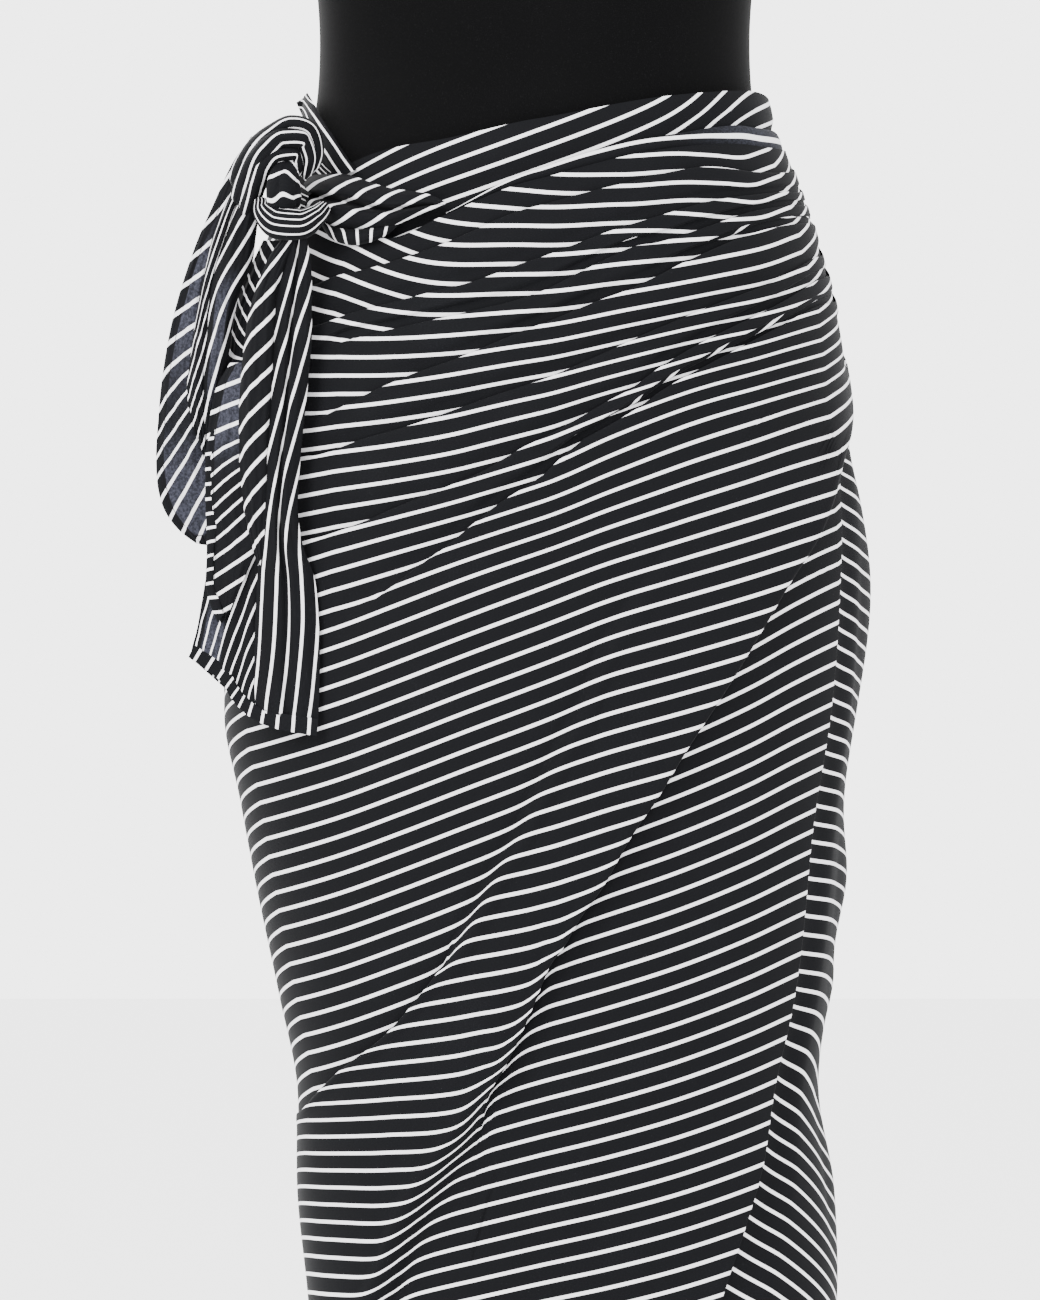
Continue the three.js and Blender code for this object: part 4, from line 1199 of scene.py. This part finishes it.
# The puffed root of the corner, and its rolled hem
LEAF = [
    (294, 182, 292, 206, 5, 5, 4, 75, 66, 15), (304, 174, 302, 212, 4, 5, 8, 58, 52, 17),
    (318, 171, 316, 218, 3, 4, 11, 48, 44, 19), (334, 171, 330, 226, 2, 3, 13, 44, 40, 20),
    (352, 174, 344, 230, 2, 2, 13, 43, 38, 20), (372, 182, 358, 231, 2, 2, 12, 42, 36, 20),
    (392, 188, 376, 231, 1.5, 1.5, 10, 40, 34, 20), (412, 191, 394, 226, 1.5, 1.5, 8, 36, 31, 19),
    (430, 195, 416, 217, 1.5, 1.5, 5, 31, 28, 18), (446, 203, 444, 207, 1, 1, 1.5, 26, 24, 17)]
panel("knot_leaf_fold", "knot_leaf", LEAF, ridges=2, on_skirt=True, count=130, columns=80, crinkle=0.35,
      start=0.2)
LEAF_HEM = [
    (316, 213, 319, 221, 6, 5, 2, 130, 130, 8), (326, 222, 328, 235, 6, 4, 4, 116, 116, 9),
    (339, 227, 339, 242, 6, 3, 5, 106, 106, 11), (354, 229, 355, 245, 6, 3, 5, 95, 95, 13),
    (370, 228, 371, 242, 5, 3, 4, 88, 88, 14), (385, 225, 387, 235, 3, 2, 3, 80, 80, 14),
    (397, 219, 399, 225, 1, 1, 1, 76, 76, 14)]
panel("knot_leaf_hem", "knot_leaf", LEAF_HEM, on_skirt=True, count=70, columns=24, crinkle=0.15,
      hem_of="knot_leaf_fold")

# The outer hanging end: its left flat strip with the hem, a narrow pleat and a broad one
panel("outer_end_strip", "tail_outer", [
    (250, 134, 266, 142, 78, 82, 2, 55, 60, 15), (230, 162, 250, 166, 72, 78, 2, 50, 60, 16),
    (212, 200, 238, 200, 67, 74, 2, 42, 56, 17), (196, 235, 221, 235, 63, 71, 2, 31, 45, 20, 0.3),
    (186, 262, 211, 262, 61, 69, 2, 28, 36, 21, 1), (177, 290, 204, 290, 60, 68, 2, 27, 32, 21, 1),
    (169, 320, 199, 320, 59, 68, 2, 27, 32, 21, 1), (163, 350, 195, 350, 58, 68, 2, 27, 38, 20, 0.8),
    (158, 385, 193, 385, 58, 68, 3, 33, 58, 15, 0.3), (155, 420, 196, 420, 58, 68, 3, 43, 62, 13, 0.1),
    (153, 452, 204, 450, 58, 68, 3, 50, 60, 14, 0.6), (154, 480, 207, 477, 58, 68, 2, 55, 58, 17, 1),
    (161, 508, 207, 502, 58, 67, 1, 57, 60, 18, 1), (176, 529, 208, 527, 59, 66, 0, 58, 62, 18, 1),
    (194, 543, 208, 545, 60, 64, 0, 58, 62, 18, 0.5)], hems=("first", "end"), count=170, columns=60)
panel("outer_end_narrow_pleat", "tail_outer", [
    (250, 150, 262, 158, 80, 84, 3, 62, 66, 8), (234, 180, 246, 182, 76, 80, 3, 64, 68, 8),
    (221, 208, 233, 208, 74, 78, 3.5, 66, 70, 8), (210, 238, 223, 238, 72, 76, 4, 68, 72, 8),
    (204, 265, 215, 265, 71, 75, 4, 68, 72, 7), (198, 292, 210, 292, 70, 74, 4, 70, 74, 7),
    (193, 322, 207, 322, 69, 74, 4, 70, 74, 7), (189, 352, 205, 352, 69, 73, 4, 68, 72, 8),
    (185, 387, 202, 387, 68, 73, 3, 66, 70, 8), (187, 418, 204, 418, 67, 71, 2, 64, 68, 9),
    (194, 445, 206, 445, 66, 69, 1, 62, 66, 10), (204, 475, 207, 475, 65, 68, 0, 62, 64, 11)],
    count=150, columns=44)
panel("outer_end_broad_pleat", "tail_outer", [
    (262, 150, 288, 165, 82, 88, 3, 62, 55, 14), (250, 174, 270, 178, 80, 84, 4, 62, 56, 14),
    (236, 201, 260, 202, 78, 82, 5, 61, 57, 14), (224, 235, 255, 235, 77, 80, 6, 59, 55, 15),
    (215, 262, 251, 262, 76, 79, 6, 60, 53, 15), (209, 290, 239, 290, 76, 78, 6, 66, 60, 15, 0.7),
    (206, 320, 232, 320, 75, 77, 6, 69, 68, 15, 1), (204, 350, 228, 350, 74, 76, 5, 70, 72, 15, 1),
    (201, 382, 221, 382, 72, 74, 4, 70, 76, 15, 0.6), (202, 412, 213, 412, 71, 72, 2.5, 70, 78, 15),
    (204, 440, 210, 440, 69, 70, 1.5, 70, 78, 15), (206, 470, 208, 470, 67, 68, 0.5, 70, 78, 15)],
    count=160, columns=50, backlit_band=(0.22, 0.72), start=0.4)

# The cloth in the shade between the two ends
panel("back_end", "tail_back", [
    (262, 238, 285, 240, 74, 80, 2, -50, -60, 13), (250, 262, 275, 262, 70, 78, 3, -50, -60, 13),
    (238, 290, 262, 290, 68, 76, 3, -50, -60, 12), (230, 318, 252, 318, 67, 75, 3, -48, -60, 11),
    (227, 345, 246, 345, 66, 74, 2, -30, -50, 12), (222, 368, 246, 366, 66, 74, 1, 10, 10, 17, 0.4),
    (214, 395, 245, 393, 66, 74, 1, 20, 16, 20, 1), (212, 430, 245, 430, 66, 75, 1, 22, 18, 20, 1),
    (212, 470, 245, 470, 67, 76, 1, 26, 24, 18, 1), (212, 520, 240, 520, 68, 76, 1, 30, 30, 17, 1),
    (214, 570, 236, 570, 68, 74, 0, 30, 30, 17)], count=120, columns=36)

# The inner hanging end: the layer below with its bottom hem, the right pleats, and the left fold
panel("inner_end_under", "tail_inner", [
    (226, 520, 262, 522, 84, 96, 1, 66, 60, 11), (208, 565, 264, 570, 83, 96, 2, 70, 61, 11),
    (201, 600, 263, 612, 82, 96, 3, 74, 62, 11, 0.3), (196, 628, 262, 652, 82, 96, 3, 76, 64, 10, 1),
    (191, 647, 260, 690, 82, 97, 3, 74, 70, 9, 1), (189, 657, 260, 720, 83, 98, 2, 70, 74, 9)],
    ridges=3, hems=("end",), count=120, columns=90, backlit_band=(0.1, 0.42), start=0.1)
panel("inner_end_right_pleats", "tail_inner", [
    (290, 232, 306, 234, 98, 102, 3, 62, 84, 14), (283, 262, 311, 262, 99, 102, 4, 58, 84, 15),
    (276, 290, 312, 295, 99, 102, 5, 58, 82, 15), (271, 330, 312, 335, 98, 102, 6, 64, 80, 15),
    (268, 370, 309, 375, 98, 103, 6, 68, 78, 15), (266, 410, 305, 415, 98, 103, 6, 70, 76, 15),
    (263, 450, 301, 455, 98, 103, 6, 71, 76, 15), (261, 500, 298, 505, 98, 103, 6, 72, 82, 15),
    (259, 540, 303, 545, 98, 103, 6, 74, 98, 15), (257, 580, 315, 580, 98, 103, 6, 76, 104, 16),
    (255, 620, 319, 625, 98, 103, 5, 77, 98, 16), (254, 660, 320, 665, 98, 103, 5, 77, 90, 16),
    (255, 700, 319, 708, 98, 103, 4, 78, 84, 16), (257, 718, 317, 735, 98, 103, 3, 80, 82, 16)],
    ridges=2, hems=("end",), count=200, columns=90, start=0.15)
panel("inner_end_flap", "tail_inner", [
    (229, 362, 246, 362, 84, 92, 1, 16, 16, 20, 1), (216, 385, 245, 385, 84, 93, 1, 18, 18, 20, 1),
    (210, 410, 244, 410, 84, 94, 1, 19, 18, 20, 1), (206, 435, 244, 435, 85, 95, 2, 20, 22, 19, 0.9),
    (205, 460, 243, 460, 86, 95, 3, 28, 36, 14, 0.2), (205, 490, 244, 490, 86, 96, 3, 34, 42, 13),
    (206, 520, 248, 518, 86, 96, 3, 36, 42, 14), (207, 550, 256, 542, 87, 97, 3, 34, 36, 16),
    (206, 580, 252, 560, 88, 97, 3, 32, 32, 17), (209, 600, 244, 578, 89, 96, 2, 32, 32, 17),
    (215, 613, 236, 596, 90, 95, 1, 32, 32, 17), (221, 624, 226, 617, 91, 93, 0, 32, 32, 17)],
    hems=("first",), count=150, columns=60, start=0.6)
panel("inner_end_flap_hem", "tail_inner", [
    (210, 430, 216, 430, 87, 88, 0.6, 8, 8, 15), (204.5, 455, 215, 455, 87, 89, 1, 7, 7, 15),
    (204.5, 490, 216, 490, 88, 89, 1, 6, 6, 15), (205.5, 522, 216, 524, 88, 90, 1, 8, 8, 14),
    (206, 552, 213, 555, 89, 91, 1, 12, 12, 13.5), (205, 580, 213, 583, 90, 92, 1, 8, 8, 14),
    (208.5, 601, 219, 601, 91, 93, 1, 4, 4, 15), (217, 622, 223, 615, 92, 94, 0.5, 10, 10, 15)],
    count=90, columns=14, crinkle=0.1, hem_of="inner_end_flap")
panel("inner_end_left_fold", "tail_inner", [
    (282, 238, 298, 238, 98, 101, 3, 55, 60, 16), (268, 258, 288, 260, 97, 101, 4, 46, 50, 17),
    (255, 290, 277, 292, 96, 101, 5, 42, 44, 19), (248, 315, 275, 315, 95, 101, 6, 40, 40, 20),
    (244, 340, 274, 345, 95, 101, 6, 40, 40, 20), (241, 370, 273, 370, 94, 101, 6, 40, 40, 20),
    (239, 400, 272, 400, 94, 101, 6, 41, 41, 20), (238, 430, 270, 430, 94, 101, 6, 43, 42, 20),
    (238, 460, 269, 460, 94, 101, 5.5, 47, 44, 19), (240, 490, 268, 490, 95, 101, 5, 48, 46, 18),
    (244, 515, 266, 515, 96, 101, 4, 48, 46, 18), (250, 540, 265, 540, 97, 101, 3, 46, 46, 18),
    (258, 566, 263, 566, 98, 100, 1, 46, 46, 18)], count=160, columns=50, start=0.35)
panel("inner_end_bottom_hem", "tail_inner", [
    (193.5, 645, 187.5, 657, 86, 86, 0.8, 62, 62, 15), (206, 653, 201, 667, 88, 88, 0.8, 58, 58, 15),
    (219, 662, 214, 676, 90, 90, 0.8, 58, 58, 15), (230, 673, 223, 685, 93, 93, 0.8, 54, 54, 12),
    (238, 687, 230, 697, 95, 95, 0.8, 54, 54, 10), (247, 698, 240, 709, 97, 97, 0.8, 66, 66, 11),
    (261, 708, 256, 721, 100, 100, 0.8, 78, 78, 14), (280, 713, 277, 729, 103, 103, 0.8, 84, 84, 16),
    (300, 716, 298, 733, 105, 105, 0.8, 86, 86, 16), (318.5, 719, 317, 736, 106, 106, 0.8, 86, 86, 16)],
    count=140, columns=16, crinkle=0.1, hem_of="inner_end_under")


# ---------------------------------------------------------------- dress form and stand

FORM_INSIDE = 8  # mm from the skirt's right side to the form, from the hip to the waist
HIP_TO_WAIST = (841, 1071)
# Height: half width, depths to front and back
TORSO = [
    (FORM_BOTTOM, 150, 102, 106), (748, 162.5, 111.5, 115.5), (770, 168.5, 117, 122.5),
    (800, 170.5, 118, 125),
    *((z, right - FORM_INSIDE, front - FORM_INSIDE, back - FORM_INSIDE)
      for z, right, _, front, back in SECTIONS if HIP_TO_WAIST[0] <= z <= HIP_TO_WAIST[1]),
    (1085, 126.9, 91, 93), (1110, 126, 89.5, 91.5), (1150, 128.5, 90, 92), (1210, 137, 97, 97),
    (1280, 148, 108, 104), (1345, 154, 114, 108), (1400, 158, 106, 106), (1445, 161, 92, 98),
    (1478, 154, 78, 88), (1502, 128, 66, 76), (1522, 92, 58, 64), (1540, 66, 53, 56), (1560, 56, 50.5, 51.5),
    (FORM_TOP, 53, 49, 49)]


def build_form():
    """Rows round the form from its foot to its neck, closed at both ends, and their cloth coordinates."""
    wide, front, back = [Curve([(row[0], row[k]) for row in TORSO]) for k in (1, 2, 3)]
    heights = np.concatenate([np.linspace(FORM_BOTTOM, 770, 14), np.linspace(774, FORM_TOP, 190)])
    turns = np.linspace(0, 360, 121)[:-1]
    z = heights[:, None]
    sizes = [wide(z), wide(z), front(z), back(z)]
    turn, height = np.broadcast_arrays(turns[None, :], z)
    points = oval([s + 0 * turn for s in sizes], turn, height, 0.0)
    first = points[:1].mean(axis=1, keepdims=True) + 0 * points[:1]
    last = points[-1:].mean(axis=1, keepdims=True) + 0 * points[-1:]
    points = np.concatenate([mix(first, points[:1], 0.02), mix(first, points[:1], 0.97), points,
                             mix(last, points[-1:], 0.02)], axis=0)
    coords = np.zeros((points.shape[0], points.shape[1] + 1, 2))
    return points, coords


points, coords = build_form()
dress_form = mesh_from_grid("dress_form", points, coords, black_jersey(), closed=True, flip=True)
place(dress_form, ["form_torso"], "form_cover")

metal = satin_metal()


def lathe(name, profile, node, sides=96):
    """A turned metal piece: its profile is a run of radii and heights."""
    turns = np.linspace(0, 2 * np.pi, sides + 1)[:-1]
    r = np.array([p[0] for p in profile], float)[:, None]
    z = np.array([p[1] for p in profile], float)[:, None]
    points = np.stack(np.broadcast_arrays(r * np.cos(turns), r * np.sin(turns), z), axis=-1)
    coords = np.zeros((points.shape[0], points.shape[1] + 1, 2))
    place(mesh_from_grid(name, points, coords, metal, closed=True, flip=True), [node], "stand_metal")


def rounded(profile, radius, count=5):
    """The profile with its inner corners rounded."""
    made = [profile[0]]
    for before, at, after in zip(profile, profile[1:], profile[2:]):
        a, b, c = [np.array(p, float) for p in (before, at, after)]
        da, dc = np.linalg.norm(a - b), np.linalg.norm(c - b)
        cut = min(radius, da / 2.2, dc / 2.2)
        start, end = b + (a - b) / da * cut, b + (c - b) / dc * cut
        for t in np.linspace(0, 1, count):
            made.append(tuple(mix(mix(start, b, t), mix(b, end, t), t)))
    made.append(profile[-1])
    return made


CAP_BASE = FORM_TOP + CLEARANCE
cap = [(0.5, 0), (51, 0), (53, 2), (53, 9), (49, 12), (10, 15), (0.5, 15.5)]
lathe("neck_cap_plate", rounded([(r, z + CAP_BASE) for r, z in cap], 2.5), "neck_cap")
pole_low, pole_high = BASE_HEIGHT + CLEARANCE, FORM_BOTTOM - CLEARANCE
pole = [(0.5, pole_low), (POLE_RADIUS, pole_low), (POLE_RADIUS, pole_high), (0.5, pole_high)]
lathe("stand_pole", rounded(pole, 1), "pole")
base = [(0.5, 0), (168, 0), (170, 2), (170, 7), (165, 11), (60, 15), (30, BASE_HEIGHT), (0.5, BASE_HEIGHT)]
lathe("stand_base", rounded(base, 3), "base")

declare_sheets()
